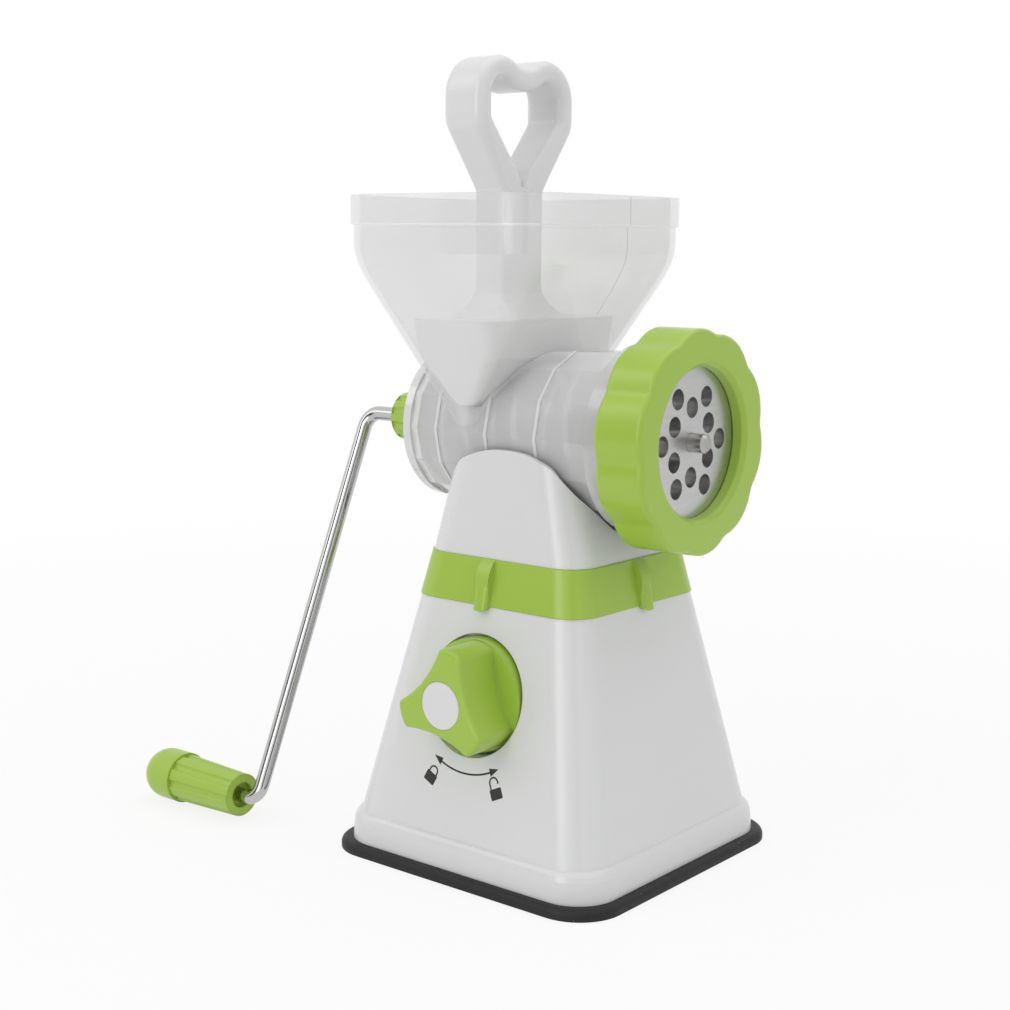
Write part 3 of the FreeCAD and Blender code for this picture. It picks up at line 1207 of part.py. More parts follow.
NODES = {
    "suction_pad": suction_pad,
    "base_plate": base_plate,
    "base_plate_screws": base_plate_screws,
    "base_shell": base_shell,
    "waist_band": waist_band,
    "upper_shell": upper_shell,
    "barrel": barrel,
    "barrel_screws": barrel_screws,
    "shell_screws": shell_screws,
    "hopper": hopper,
    "rear_bush": rear_bush,
    "rear_seal": rear_seal,
    "drive_shaft": drive_shaft,
    "thrust_washer": thrust_washer,
    "auger": auger,
    "auger_pin": auger_pin,
    "knife": knife,
    "cutting_plate": cutting_plate,
    "ring_nut": ring_nut,
    "crank_hub": crank_hub,
    "crank_rod": crank_rod,
    "grip_retainer": grip_retainer,
    "grip_sleeve": grip_sleeve,
    "grip_cap": grip_cap,
    "pusher": pusher,
    "lock_knob": lock_knob,
    "knob_cap": knob_cap,
    "knob_screw": knob_screw,
    "cam_shaft": cam_shaft,
    "lift_yoke": lift_yoke,
    "follower_pin": follower_pin,
    "pad_stud": pad_stud,
    "stud_nut": stud_nut,
}


def main():
    """Build every node and write it to its own file."""
    os.makedirs("parts", exist_ok=True)
    for name, build in NODES.items():
        shape = build()
        shape.exportStep(os.path.join("parts", name + ".step"))
        print(name, len(shape.Solids), shape.isValid(), round(shape.Volume))


main()
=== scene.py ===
import logging
import math
from dataclasses import dataclass, field
from enum import Enum

import bpy
from mathutils import Matrix, Vector
from mathutils.bvhtree import BVHTree


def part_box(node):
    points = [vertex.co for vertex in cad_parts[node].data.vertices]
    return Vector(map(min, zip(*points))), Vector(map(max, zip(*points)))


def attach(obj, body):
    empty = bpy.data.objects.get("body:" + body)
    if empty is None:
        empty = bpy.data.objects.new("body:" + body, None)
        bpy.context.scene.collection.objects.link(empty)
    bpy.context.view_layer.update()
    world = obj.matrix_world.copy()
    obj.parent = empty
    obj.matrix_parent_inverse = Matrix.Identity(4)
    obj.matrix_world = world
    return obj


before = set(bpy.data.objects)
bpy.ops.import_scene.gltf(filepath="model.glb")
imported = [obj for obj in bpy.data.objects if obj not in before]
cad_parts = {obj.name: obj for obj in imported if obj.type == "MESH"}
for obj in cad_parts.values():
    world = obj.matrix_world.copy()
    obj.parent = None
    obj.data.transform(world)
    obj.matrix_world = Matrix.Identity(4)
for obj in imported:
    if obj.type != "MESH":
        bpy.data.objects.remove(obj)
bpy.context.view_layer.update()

LOG = logging.getLogger("grinder")
MM = 0.001
MIX_FACTOR = 0
MIX_LOW = 6
MIX_HIGH = 7
MIX_RESULT = 2
Colour = tuple[float, float, float]
Point2 = tuple[float, float]
Point3 = tuple[float, float, float]
Socket = bpy.types.NodeSocket


class Body(Enum):
    """Moving bodies that added pieces ride on."""

    STAND = "stand"


class Latch(Enum):
    """Lift of a padlock sign's shackle in millimetres."""

    CLOSED = 0.0
    OPEN = 1.5


class Axis(Enum):
    """Axis that a stripe stands across."""

    ALONG = "X"
    UPWARD = "Z"


class NodeBoard:
    """Nodes of one material or world, with short calls for the kinds used here."""

    def __init__(self, owner: bpy.types.Material | bpy.types.World) -> None:
        """Switch the owner's nodes on.

        Args:
            owner: Material or world that the nodes belong to.
        """
        owner.use_nodes = True
        self.tree = owner.node_tree

    def add(self, kind: str, **settings: str | int) -> bpy.types.Node:
        """Add one node.

        Args:
            kind: Blender's name for the node.
            settings: Properties to set on it.

        Returns:
            The new node.
        """
        node = self.tree.nodes.new(kind)
        for key, value in settings.items():
            setattr(node, key, value)
        return node

    def feed(self, target: Socket, value: Socket | float | Point3) -> None:
        """Lead a value to a socket.

        Args:
            target: Socket to feed.
            value: Socket of another node, or a constant.
        """
        if isinstance(value, Socket):
            self.tree.links.new(value, target)
        elif target.type == "RGBA":
            target.default_value = (*value, 1.0)
        else:
            target.default_value = value

    def fill(self, node: bpy.types.Node, **values: Socket | float | Point3) -> None:
        """Feed several sockets of one node.

        Args:
            node: Node to feed.
            values: Socket names with underscores for spaces, and what they get.
        """
        for key, value in values.items():
            self.feed(node.inputs[key.replace("_", " ")], value)

    def sum(self, operation: str, first: Socket, second: Socket | float = 0.0) -> Socket:
        """Work one value out from two.

        Args:
            operation: Blender's name for the sum.
            first: First value.
            second: Second value, where the sum has one.

        Returns:
            The result socket.
        """
        node = self.add("ShaderNodeMath", operation=operation)
        self.feed(node.inputs[0], first)
        self.feed(node.inputs[1], second)
        return node.outputs["Value"]

    def spread(self, source: Socket, ends: Point2, reach: Point2 = (0.15, 0.85)) -> Socket:
        """Spread a factor over a range of values.

        Args:
            source: Factor socket.
            ends: Lowest and highest result.
            reach: Factor values that give them.

        Returns:
            The result socket.
        """
        node = self.add("ShaderNodeMapRange")
        self.fill(node, Value=source, From_Min=reach[0], From_Max=reach[1], To_Min=ends[0], To_Max=ends[1])
        return node.outputs["Result"]

    def own_place(self) -> Socket:
        """Place in the object's own space."""
        return self.add("ShaderNodeTexCoord").outputs["Object"]

    def seen_directly(self) -> Socket:
        """Factor that is 1 where the background itself is seen.

        Returns:
            The factor socket.
        """
        path = self.add("ShaderNodeLightPath").outputs
        total = path["Is Camera Ray"]
        for kind in ("Is Glossy Ray", "Is Transmission Ray"):
            total = self.sum("MAXIMUM", total, path[kind])
        return total


class FinishBoard(NodeBoard):
    """Nodes of one finish around its shader."""

    def __init__(self, name: str) -> None:
        """Make the material and keep its shader at hand.

        Args:
            name: Name of the material.
        """
        self.material = bpy.data.materials.new(name)
        super().__init__(self.material)
        self.shader = self.tree.nodes["Principled BSDF"]
        self.place = self.own_place()

    def finish(self, **values: Socket | float | Point3) -> bpy.types.Material:
        """Feed the shader.

        Args:
            values: The shader's socket names with underscores for spaces, and what they get.

        Returns:
            The finished material.
        """
        self.fill(self.shader, **values)
        return self.material

    def noise(self, waves: float, detail: float = 3.0, stretch: Point3 = (1.0, 1.0, 1.0)) -> Socket:
        """Cloudy noise in the object's own space.

        Args:
            waves: Waves per metre.
            detail: Octaves.
            stretch: Factors on the three directions.

        Returns:
            The factor socket.
        """
        mapping = self.add("ShaderNodeMapping")
        self.fill(mapping, Vector=self.place, Scale=stretch)
        node = self.add("ShaderNodeTexNoise")
        self.fill(node, Vector=mapping.outputs["Vector"], Scale=waves, Detail=detail)
        return node.outputs["Fac"]

    def tint(self, source: Socket, low: Colour | Socket, high: Colour) -> Socket:
        """Blend two colours by a factor.

        Args:
            source: Factor socket.
            low: Colour at 0, or the socket that gives it.
            high: Colour at 1.

        Returns:
            The colour socket.
        """
        node = self.add("ShaderNodeMix", data_type="RGBA")
        self.feed(node.inputs[MIX_FACTOR], source)
        self.feed(node.inputs[MIX_LOW], low)
        self.feed(node.inputs[MIX_HIGH], high)
        return node.outputs[MIX_RESULT]

    def mottle(self, pattern: Socket, colour: Colour, swing: Point2) -> Socket:
        """Colour that drifts a little with a pattern.

        Args:
            pattern: Factor socket.
            colour: Plain colour.
            swing: Factors on the colour at the pattern's two ends.

        Returns:
            The colour socket.
        """
        return self.tint(self.spread(pattern, (0.0, 1.0)), shade(colour, swing[0]), shade(colour, swing[1]))

    def toward_edges(self, ends: Point2, sharpness: float) -> Socket:
        """Values that rise where the surface turns away from the eye, as glass does.

        Args:
            ends: Value seen square on and value at the rim.
            sharpness: Power of the rise.

        Returns:
            The result socket.
        """
        weight = self.add("ShaderNodeLayerWeight")
        self.fill(weight, Blend=0.5)
        rise = self.sum("POWER", weight.outputs["Facing"], sharpness)
        return self.spread(rise, ends, (0.0, 1.0))

    def bands(self, axis: Axis, places: tuple[float, ...], half: float, core: float = 0.8) -> Socket:
        """Value 1 in bands across one axis, and 0 elsewhere.

        Args:
            axis: Axis that the bands stand across.
            places: Middle of each band in millimetres.
            half: Half width of a band in millimetres.
            core: Share of the half width that has the full value.

        Returns:
            The result socket.
        """
        axes = self.add("ShaderNodeSeparateXYZ")
        self.fill(axes, Vector=self.place)
        total: Socket | None = None
        for place in places:
            away = self.sum("ABSOLUTE", self.sum("SUBTRACT", axes.outputs[axis.value], place * MM))
            band = self.spread(away, (1.0, 0.0), (half * core * MM, half * MM))
            total = band if total is None else self.sum("MAXIMUM", total, band)
        return total

    def relief(self, height: Socket, depth: float, edge: float) -> Socket:
        """Normals of a patterned surface with softened edges.

        Args:
            height: Height pattern.
            depth: Depth of the pattern in millimetres.
            edge: Rounding of the edges in millimetres.

        Returns:
            The normal socket.
        """
        rounded = self.add("ShaderNodeBevel", samples=6)
        self.fill(rounded, Radius=edge * MM)
        node = self.add("ShaderNodeBump")
        self.fill(node, Strength=1.0, Distance=depth * MM, Height=height, Normal=rounded.outputs["Normal"])
        return node.outputs["Normal"]


def shade(colour: Colour, factor: float) -> Colour:
    """A colour made darker or lighter by a factor."""
    return (min(1.0, colour[0] * factor), min(1.0, colour[1] * factor), min(1.0, colour[2] * factor))


@dataclass(frozen=True)
class MouldedPlastic:
    """Opaque moulded plastic, faintly uneven in tone and surface."""

    name: str
    colour: Colour
    roughness: Point2
    edge: float = 0.5
    swing: Point2 = (0.98, 1.015)
    cloud_waves: float = 8.0
    sheen_waves: float = 45.0
    peel_waves: float = 700.0
    peel_depth: float = 0.004

    def material(self) -> bpy.types.Material:
        """Make the material.

        Returns:
            The finished material.
        """
        board = FinishBoard(self.name)
        return board.finish(
            Base_Color=board.mottle(board.noise(self.cloud_waves), self.colour, self.swing),
            Roughness=board.spread(board.noise(self.sheen_waves), self.roughness),
            Normal=board.relief(board.noise(self.peel_waves, detail=2.0), self.peel_depth, self.edge))


@dataclass(frozen=True)
class Stripe:
    """Bands of a clear wall that cover more, and may be paler as a painted highlight."""

    axis: Axis
    places: tuple[float, ...]
    half: float
    cover: float
    # Paler colour of the band, a painted highlight; None keeps the wall's own tone.
    tone: Colour | None = None


@dataclass(frozen=True)
class ClearPlastic:
    """See-through moulded plastic with a faint milkiness."""

    name: str
    colour: Colour
    cover: Point2
    roughness: Point2
    edge: float
    stripes: tuple[Stripe, ...]
    sharpness: float = 1.6
    swing: Point2 = (0.97, 1.02)
    cloud_waves: float = 12.0
    sheen_waves: float = 30.0
    ripple_waves: float = 120.0
    ripple_depth: float = 0.008

    def material(self) -> bpy.types.Material:
        """Make the material.

        Returns:
            The finished material.
        """
        board = FinishBoard(self.name)
        tone = board.mottle(board.noise(self.cloud_waves), self.colour, self.swing)
        cover = board.toward_edges(self.cover, self.sharpness)
        for stripe in self.stripes:
            band = board.bands(stripe.axis, stripe.places, stripe.half)
            cover = board.sum("MAXIMUM", cover, board.spread(band, (0.0, stripe.cover), (0.0, 1.0)))
            # A paler band colour is a painted highlight laid over the wall's tone.
            if stripe.tone is not None:
                tone = board.tint(band, tone, stripe.tone)
        return board.finish(
            Base_Color=tone,
            Alpha=cover,
            Roughness=board.spread(board.noise(self.sheen_waves), self.roughness),
            Specular_IOR_Level=1.0,
            Coat_Weight=1.0,
            Coat_Roughness=0.05,
            Normal=board.relief(board.noise(self.ripple_waves, detail=2.0), self.ripple_depth, self.edge))


@dataclass(frozen=True)
class BrushedSteel:
    """Bare steel with fine strokes along one direction."""

    name: str
    colour: Colour
    roughness: Point2
    strokes: Point3
    swing: Point2 = (0.93, 1.05)
    grain_waves: float = 900.0
    sheen_waves: float = 120.0
    groove_depth: float = 0.003
    edge: float = 0.3

    def material(self) -> bpy.types.Material:
        """Make the material.

        Returns:
            The finished material.
        """
        board = FinishBoard(self.name)
        grain = board.noise(self.grain_waves, detail=2.0, stretch=self.strokes)
        return board.finish(
            Base_Color=board.mottle(grain, self.colour, self.swing),
            Roughness=board.spread(board.noise(self.sheen_waves), self.roughness),
            Metallic=1.0,
            Normal=board.relief(grain, self.groove_depth, self.edge))


@dataclass(frozen=True)
class PolishedSteel:
    """Plated steel, smooth and only faintly uneven."""

    name: str
    colour: Colour
    roughness: Point2
    swing: Point2 = (0.97, 1.02)
    cloud_waves: float = 14.0
    sheen_waves: float = 25.0

    def material(self) -> bpy.types.Material:
        """Make the material.

        Returns:
            The finished material.
        """
        board = FinishBoard(self.name)
        return board.finish(
            Base_Color=board.mottle(board.noise(self.cloud_waves), self.colour, self.swing),
            Roughness=board.spread(board.noise(self.sheen_waves), self.roughness),
            Metallic=1.0)


@dataclass(frozen=True)
class SpeckledRubber:
    """Dark rubber with patches of fine paler specks."""

    name: str
    colour: Colour
    speck: Colour
    roughness: Point2 = (0.45, 0.62)
    cell_waves: float = 420.0
    speck_reach: Point2 = (0.05, 0.16)
    patch_waves: float = 140.0
    patch_reach: Point2 = (0.52, 0.62)
    patch_cover: float = 0.8
    sheen_waves: float = 200.0
    grain_waves: float = 900.0
    grain_depth: float = 0.03
    edge: float = 0.6

    def material(self) -> bpy.types.Material:
        """Make the material.

        Returns:
            The finished material.
        """
        board = FinishBoard(self.name)
        cells = board.add("ShaderNodeTexVoronoi")
        board.fill(cells, Vector=board.place, Scale=self.cell_waves)
        specks = board.spread(cells.outputs["Distance"], (1.0, 0.0), self.speck_reach)
        patches = board.spread(board.noise(self.patch_waves), (0.0, self.patch_cover), self.patch_reach)
        return board.finish(
            Base_Color=board.tint(board.sum("MULTIPLY", specks, patches), self.colour, self.speck),
            Roughness=board.spread(board.noise(self.sheen_waves), self.roughness),
            Specular_IOR_Level=0.3,
            Normal=board.relief(board.noise(self.grain_waves), self.grain_depth, self.edge))


@dataclass(frozen=True)
class PrintInk:
    """Pad-printed ink, thin and slightly uneven."""

    name: str
    colour: Colour
    swing: Point2 = (1.0, 1.6)
    cloud_waves: float = 600.0

    def material(self) -> bpy.types.Material:
        """Make the material.

        Returns:
            The finished material.
        """
        board = FinishBoard(self.name)
        return board.finish(
            Base_Color=board.mottle(board.noise(self.cloud_waves), self.colour, self.swing),
            Roughness=0.5)


@dataclass
class Finishes:
    """All finishes of the grinder, made once and shared."""

    green: Colour = (0.375, 0.56, 0.066)
    rim_height: float = 12.0
    hoop_places: tuple[float, ...] = (-39.5, -12.2, 13.8)
    rear_wall_place: float = -55.0
    sideways: Point3 = (1.0, 0.12, 1.0)
    endwise: Point3 = (0.1, 1.0, 1.0)

    def __post_init__(self) -> None:
        """Make every material."""
        self.white = MouldedPlastic("white_moulding", (0.76, 0.76, 0.766), (0.22, 0.27)).material()
        self.lime = MouldedPlastic("lime_moulding", self.green, (0.26, 0.32)).material()
        self.soft_lime = MouldedPlastic("soft_lime_moulding", self.green, (0.22, 0.28), edge=1.4).material()
        self.feed = MouldedPlastic("feed_screw_moulding", (0.78, 0.78, 0.78), (0.38, 0.46)).material()
        self.hopper = self.hopper_wall().material()
        self.barrel = self.barrel_wall().material()
        self.plate = BrushedSteel("plate_steel", (0.60, 0.60, 0.60), (0.26, 0.36), self.sideways).material()
        self.pin = BrushedSteel("pin_steel", (0.46, 0.45, 0.435), (0.24, 0.34), self.endwise).material()
        self.steel = BrushedSteel("hidden_steel", (0.55, 0.55, 0.56), (0.25, 0.38), self.endwise).material()
        self.rod = PolishedSteel("rod_chrome", (0.52, 0.52, 0.515), (0.12, 0.16)).material()
        self.rubber = SpeckledRubber("pad_rubber", (0.017, 0.017, 0.018), (0.22, 0.22, 0.22)).material()
        self.seal = SpeckledRubber("seal_rubber", (0.05, 0.05, 0.05), (0.06, 0.06, 0.06)).material()
        self.ink = PrintInk("print_ink", (0.012, 0.012, 0.012)).material()

    def hopper_wall(self) -> ClearPlastic:
        """Clear wall with a denser line at the foot of the rim, painted pale as a highlight.

        Returns:
            The hopper's finish.
        """
        rim_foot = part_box("hopper")[1].z / MM - self.rim_height
        # The line's pale tone is a painted highlight along the rim's step; its higher cover makes it less
        # see-through.
        rim_line_with_painted_highlight = Stripe(Axis.UPWARD, (rim_foot,), half=0.5, cover=0.62, tone=(0.93, 0.93, 0.93))
        return ClearPlastic("hopper_moulding", (0.74, 0.74, 0.743), (0.25, 0.60), (0.10, 0.16),
                            edge=0.7, stripes=(rim_line_with_painted_highlight,))

    def barrel_wall(self) -> ClearPlastic:
        """Clear wall whose hoop bands are denser and painted pale as a highlight, with a clouded rear end.

        Returns:
            The barrel's finish.
        """
        # The hoop bands' pale tone is a painted highlight; their higher cover makes them less see-through.
        hoop_bands_with_painted_highlight = Stripe(Axis.ALONG, self.hoop_places, half=1.1, cover=0.68, tone=(0.88, 0.88, 0.88))
        rear_wall = Stripe(Axis.ALONG, (self.rear_wall_place,), half=5.5, cover=0.8)
        return ClearPlastic("barrel_moulding", (0.82, 0.82, 0.825), (0.42, 0.80), (0.08, 0.13),
                            edge=0.3, stripes=(hoop_bands_with_painted_highlight, rear_wall))


def coat(material: bpy.types.Material, *nodes: str) -> None:
    """Give modelled solids a finish.

    Args:
        material: Finish to use.
        nodes: Names of the solids.
    """
    for name in nodes:
        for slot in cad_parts[name].material_slots:
            slot.material = material
        LOG.info("dressed %s in %s", name, material.name)


def let_light_through(*nodes: str) -> None:
    """Keep clear solids from shading what stands inside or behind them.

    Args:
        nodes: Names of the solids.
    """
    for name in nodes:
        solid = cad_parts[name]
        solid.visible_shadow = False
        solid.visible_diffuse = False


def put(name: str, data: bpy.types.ID) -> bpy.types.Object:
    """Add an object to the scene.

    Args:
        name: Name of the object.
        data: Mesh, lamp or camera that it shows.

    Returns:
        The new object.
    """
    thing = bpy.data.objects.new(name, data)
    bpy.context.scene.collection.objects.link(thing)
    return thing


def surface_of(node: str) -> BVHTree:
    """Search tree of a solid's faces.

    Args:
        node: Name of the solid.

    Returns:
        The search tree.
    """
    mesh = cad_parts[node].data
    points = [vertex.co for vertex in mesh.vertices]
    return BVHTree.FromPolygons(points, [tuple(face.vertices) for face in mesh.polygons])


def arc_point(radius: float, turn: float, centre: Point2 = (0.0, 0.0)) -> Point2:
    """Point on a circle.

    Args:
        radius: Circle radius.
        turn: Angle in degrees.
        centre: Centre of the circle.

    Returns:
        The point.
    """
    angle = math.radians(turn)
    return (centre[0] + radius * math.cos(angle), centre[1] + radius * math.sin(angle))


def arc_points(radius: float, ends: Point2, count: int, centre: Point2 = (0.0, 0.0)) -> list[Point2]:
    """Points along an arc.

    Args:
        radius: Arc radius.
        ends: First and last angle in degrees.
        count: Number of points.
        centre: Centre of the arc.

    Returns:
        The points in order.
    """
    first, last = ends
    turns = [first + (last - first) * index / (count - 1) for index in range(count)]
    return [arc_point(radius, turn, centre) for turn in turns]


@dataclass
class Outline:
    """Flat shape made of points and faces, in millimetres."""

    points: list[Point2] = field(default_factory=list)
    faces: list[tuple[int, ...]] = field(default_factory=list)

    def strip(self, inner: list[Point2], outer: list[Point2]) -> None:
        """Add a band between two rows of points.

        Args:
            inner: First row.
            outer: Second row, as long as the first.
        """
        start = len(self.points)
        count = len(inner)
        self.points += inner + outer
        for index in range(count - 1):
            near = start + index
            self.faces.append((near, near + 1, near + count + 1, near + count))

    def patch(self, ring: list[Point2]) -> None:
        """Add one filled ring of points.

        Args:
            ring: Points in order.
        """
        start = len(self.points)
        self.points += ring
        self.faces.append(tuple(range(start, start + len(ring))))

    def turn(self, angle: float, place: Point2) -> None:
        """Turn the whole shape about its origin, then move it.

        Args:
            angle: Turn in degrees.
            place: Where the origin goes.
        """
        cosine = math.cos(math.radians(angle))
        sine = math.sin(math.radians(angle))
        self.points = [(place[0] + x * cosine - y * sine, place[1] + x * sine + y * cosine)
                       for x, y in self.points]

    def rim(self) -> list[tuple[int, int]]:
        """Edges that belong to one face only.

        Returns:
            Pairs of point numbers, in the order of their face.
        """
        seen: dict[frozenset[int], list[tuple[int, int]]] = {}
        for face in self.faces:
            for first, second in zip(face, face[1:] + face[:1]):
                seen.setdefault(frozenset((first, second)), []).append((first, second))
        return [pairs[0] for pairs in seen.values() if len(pairs) == 1]


@dataclass
class Lay:
    """Carries flat points to a surface by straight shots."""

    surface: BVHTree
    origin: Vector
    across: Vector
    upward: Vector
    shot: Vector

    def find(self, point: Point2) -> tuple[Vector, Vector]:
        """Surface place under a flat point.

        Args:
            point: Flat point in millimetres.

        Returns:
            The place and the surface normal there.
        """
        start = self.origin + self.across * (point[0] * MM) + self.upward * (point[1] * MM)
        spot, normal, _, _ = self.surface.ray_cast(start, self.shot)
        if spot is None:
            raise ValueError(f"no surface under {point}")
        return spot, normal

    def raised(self, name: str, shape: Outline, proud: float) -> bpy.types.Object:
        """Lay a flat shape on the surface as a thin closed solid.

        Args:
            name: Name of the new piece.
            shape: Flat shape.
            proud: Height above the surface in millimetres.

        Returns:
            The new piece.
        """
        placed = [self.find(point) for point in shape.points]
        top = [spot + normal * (proud * MM) for spot, normal in placed]
        bottom = [spot - normal * (proud * MM) for spot, normal in placed]
        count = len(top)
        faces = list(shape.faces)
        faces += [tuple(count + index for index in reversed(face)) for face in shape.faces]
        faces += [(second, first, count + first, count + second) for first, second in shape.rim()]
        mesh = bpy.data.meshes.new(name)
        mesh.from_pydata(top + bottom, [], faces)
        mesh.validate()
        mesh.update()
        return put(name, mesh)


@dataclass
class KnobLegend:
    """Printed arrow and padlock signs below the lock knob, in millimetres and degrees."""

    face_lean: float = 11.3
    stand_off: float = 200.0
    arrow_radius: float = 31.4
    arrow_ends: Point2 = (-121.0, -57.0)
    arrow_count: int = 40
    line_width: float = 0.75
    head_length: float = 4.6
    head_width: float = 3.3
    head_bare: float = 0.8
    sign_radius: float = 40.2
    sign_turns: Point2 = (-115.0, -64.0)
    body_half: Point2 = (2.9, 2.2)
    body_corner: float = 0.5
    corner_count: int = 5
    shackle_radius: float = 2.0
    shackle_width: float = 0.7
    shackle_sink: float = 0.2
    shackle_leg: float = 0.9
    shackle_count: int = 18
    proud: float = 0.04

    def lay(self) -> Lay:
        """Shots from in front of the knob's face to the base shell.

        Returns:
            The lay, centred on the knob's axis.
        """
        low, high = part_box("knob_cap")
        centre = (low + high) / 2
        origin = Vector((centre.x, -self.stand_off * MM, centre.z))
        upward = Vector((0.0, 0.0, math.cos(math.radians(self.face_lean))))
        return Lay(surface_of("base_shell"), origin, Vector((1, 0, 0)), upward, Vector((0, 1, 0)))

    def arrow(self) -> Outline:
        """Curved line with a head on each end.

        Returns:
            The flat shape.
        """
        shape = Outline()
        first, last = self.arrow_ends
        head_turn = math.degrees(self.head_length / self.arrow_radius)
        line_ends = (first + head_turn * self.head_bare, last - head_turn * self.head_bare)
        rows = []
        for side in (-1, 1):
            radius = self.arrow_radius + side * self.line_width / 2
            rows.append(arc_points(radius, line_ends, self.arrow_count))
        shape.strip(*rows)
        for tip, side in ((first, 1), (last, -1)):
            back = tip + side * head_turn
            ring = [arc_point(self.arrow_radius, tip),
                    arc_point(self.arrow_radius - self.head_width / 2, back),
                    arc_point(self.arrow_radius + self.head_width / 2, back)]
            shape.patch(ring[::side])
        return shape

    def padlock(self, turn: float, latch: Latch) -> Outline:
        """Small padlock that stands on the arc.

        Args:
            turn: Place on the arc in degrees.
            latch: Whether the shackle is closed or open.

        Returns:
            The flat shape.
        """
        shape = Outline()
        wide, high = self.body_half
        ring: list[Point2] = []
        for start, side, level in ((0, 1, 1), (90, -1, 1), (180, -1, -1), (270, 1, -1)):
            centre = (side * (wide - self.body_corner), level * (high - self.body_corner))
            ring += arc_points(self.body_corner, (start, start + 90), self.corner_count, centre)
        shape.patch(ring)
        foot = high - self.shackle_sink
        bow = high + self.shackle_leg + latch.value
        free_end = foot if latch is Latch.CLOSED else bow - self.shackle_leg
        rows = []
        for side in (-1, 1):
            radius = self.shackle_radius + side * self.shackle_width / 2
            arch = arc_points(radius, (0, 180), self.shackle_count, (0.0, bow))
            rows.append([(radius, free_end)] + arch + [(-radius, foot)])
        shape.strip(*rows)
        shape.turn(turn + 90, arc_point(self.sign_radius, turn))
        return shape

    def build(self, finishes: Finishes) -> None:
        """Make the three prints on the base shell.

        Args:
            finishes: Shared finishes.
        """
        lay = self.lay()
        shapes = {
            "turn_arrow": self.arrow(),
            "closed_padlock_sign": self.padlock(self.sign_turns[0], Latch.CLOSED),
            "open_padlock_sign": self.padlock(self.sign_turns[1], Latch.OPEN)}
        for name, shape in shapes.items():
            piece = lay.raised(name, shape, self.proud)
            piece.data.materials.append(finishes.ink)
            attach(piece, Body.STAND.value)
            LOG.info("printed %s", name)


@dataclass
class HopperSeam:
    """Faint mould line down the hopper's outlet wall, in millimetres."""

    stand_off: float = 200.0
    side: float = 7.8
    width: float = 0.45
    drop: float = 0.6
    length: float = 47.0
    rows: int = 48
    proud: float = 0.06

    def build(self, finishes: Finishes) -> None:
        """Make the line on the hopper.

        Args:
            finishes: Shared finishes.
        """
        origin = Vector((self.stand_off * MM, 0.0, 0.0))
        lay = Lay(surface_of("hopper"), origin, Vector((0, 1, 0)), Vector((0, 0, 1)), Vector((-1, 0, 0)))
        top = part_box("hopper")[1].z / MM - self.drop
        heights = [top - self.length * index / (self.rows - 1) for index in reversed(range(self.rows))]
        shape = Outline()
        shape.strip([(self.side + self.width / 2, height) for height in heights],
                    [(self.side - self.width / 2, height) for height in heights])
        piece = lay.raised("hopper_mould_line", shape, self.proud)
        piece.data.materials.append(finishes.hopper)
        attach(piece, Body.STAND.value)
        LOG.info("laid the hopper's mould line")


@dataclass
class SuctionBase:
    """Rubber foot, tower, band and saddle."""

    shells: tuple[str, ...] = ("base_plate", "base_shell", "upper_shell")
    screws: tuple[str, ...] = ("base_plate_screws", "shell_screws", "barrel_screws")

    def dress(self, finishes: Finishes) -> None:
        """Give the base its finishes.

        Args:
            finishes: Shared finishes.
        """
        coat(finishes.rubber, "suction_pad")
        coat(finishes.white, *self.shells)
        coat(finishes.lime, "waist_band")
        coat(finishes.steel, *self.screws)


@dataclass
class FeedTube:
    """Clear hopper and barrel with the rear bearing."""

    def dress(self, finishes: Finishes) -> None:
        """Give the tube its finishes.

        Args:
            finishes: Shared finishes.
        """
        coat(finishes.hopper, "hopper")
        coat(finishes.barrel, "barrel")
        coat(finishes.feed, "rear_bush")
        coat(finishes.seal, "rear_seal")
        let_light_through("hopper")


@dataclass
class CuttingHead:
    """Feed screw, knife, cutting plate and ring nut."""

    screw: tuple[str, ...] = ("auger", "thrust_washer")
    cutters: tuple[str, ...] = ("cutting_plate", "knife")

    def dress(self, finishes: Finishes) -> None:
        """Give the head its finishes.

        Args:
            finishes: Shared finishes.
        """
        coat(finishes.feed, *self.screw)
        coat(finishes.plate, *self.cutters)
        coat(finishes.pin, "auger_pin")
        coat(finishes.steel, "drive_shaft")
        coat(finishes.soft_lime, "ring_nut")


@dataclass
class Crank:
    """Hub, bent rod and fluted grip."""

    mouldings: tuple[str, ...] = ("crank_hub", "grip_sleeve", "grip_cap")

    def dress(self, finishes: Finishes) -> None:
        """Give the crank its finishes.

        Args:
            finishes: Shared finishes.
        """
        coat(finishes.lime, *self.mouldings)
        coat(finishes.rod, "crank_rod")
        coat(finishes.steel, "grip_retainer")


@dataclass
class Pusher:
    """Looped pusher in the hopper."""

    def dress(self, finishes: Finishes) -> None:
        """Give the pusher its finish."""
        coat(finishes.white, "pusher")


@dataclass
class LockGear:
    """Three-lobed knob, its cap and the lift gear behind it."""

    cam: tuple[str, ...] = ("knob_screw", "cam_shaft", "follower_pin")
    lift: tuple[str, ...] = ("lift_yoke", "pad_stud", "stud_nut")

    def dress(self, finishes: Finishes) -> None:
        """Give the knob and gear their finishes.

        Args:
            finishes: Shared finishes.
        """
        coat(finishes.soft_lime, "lock_knob")
        coat(finishes.white, "knob_cap")
        coat(finishes.steel, *self.cam, *self.lift)


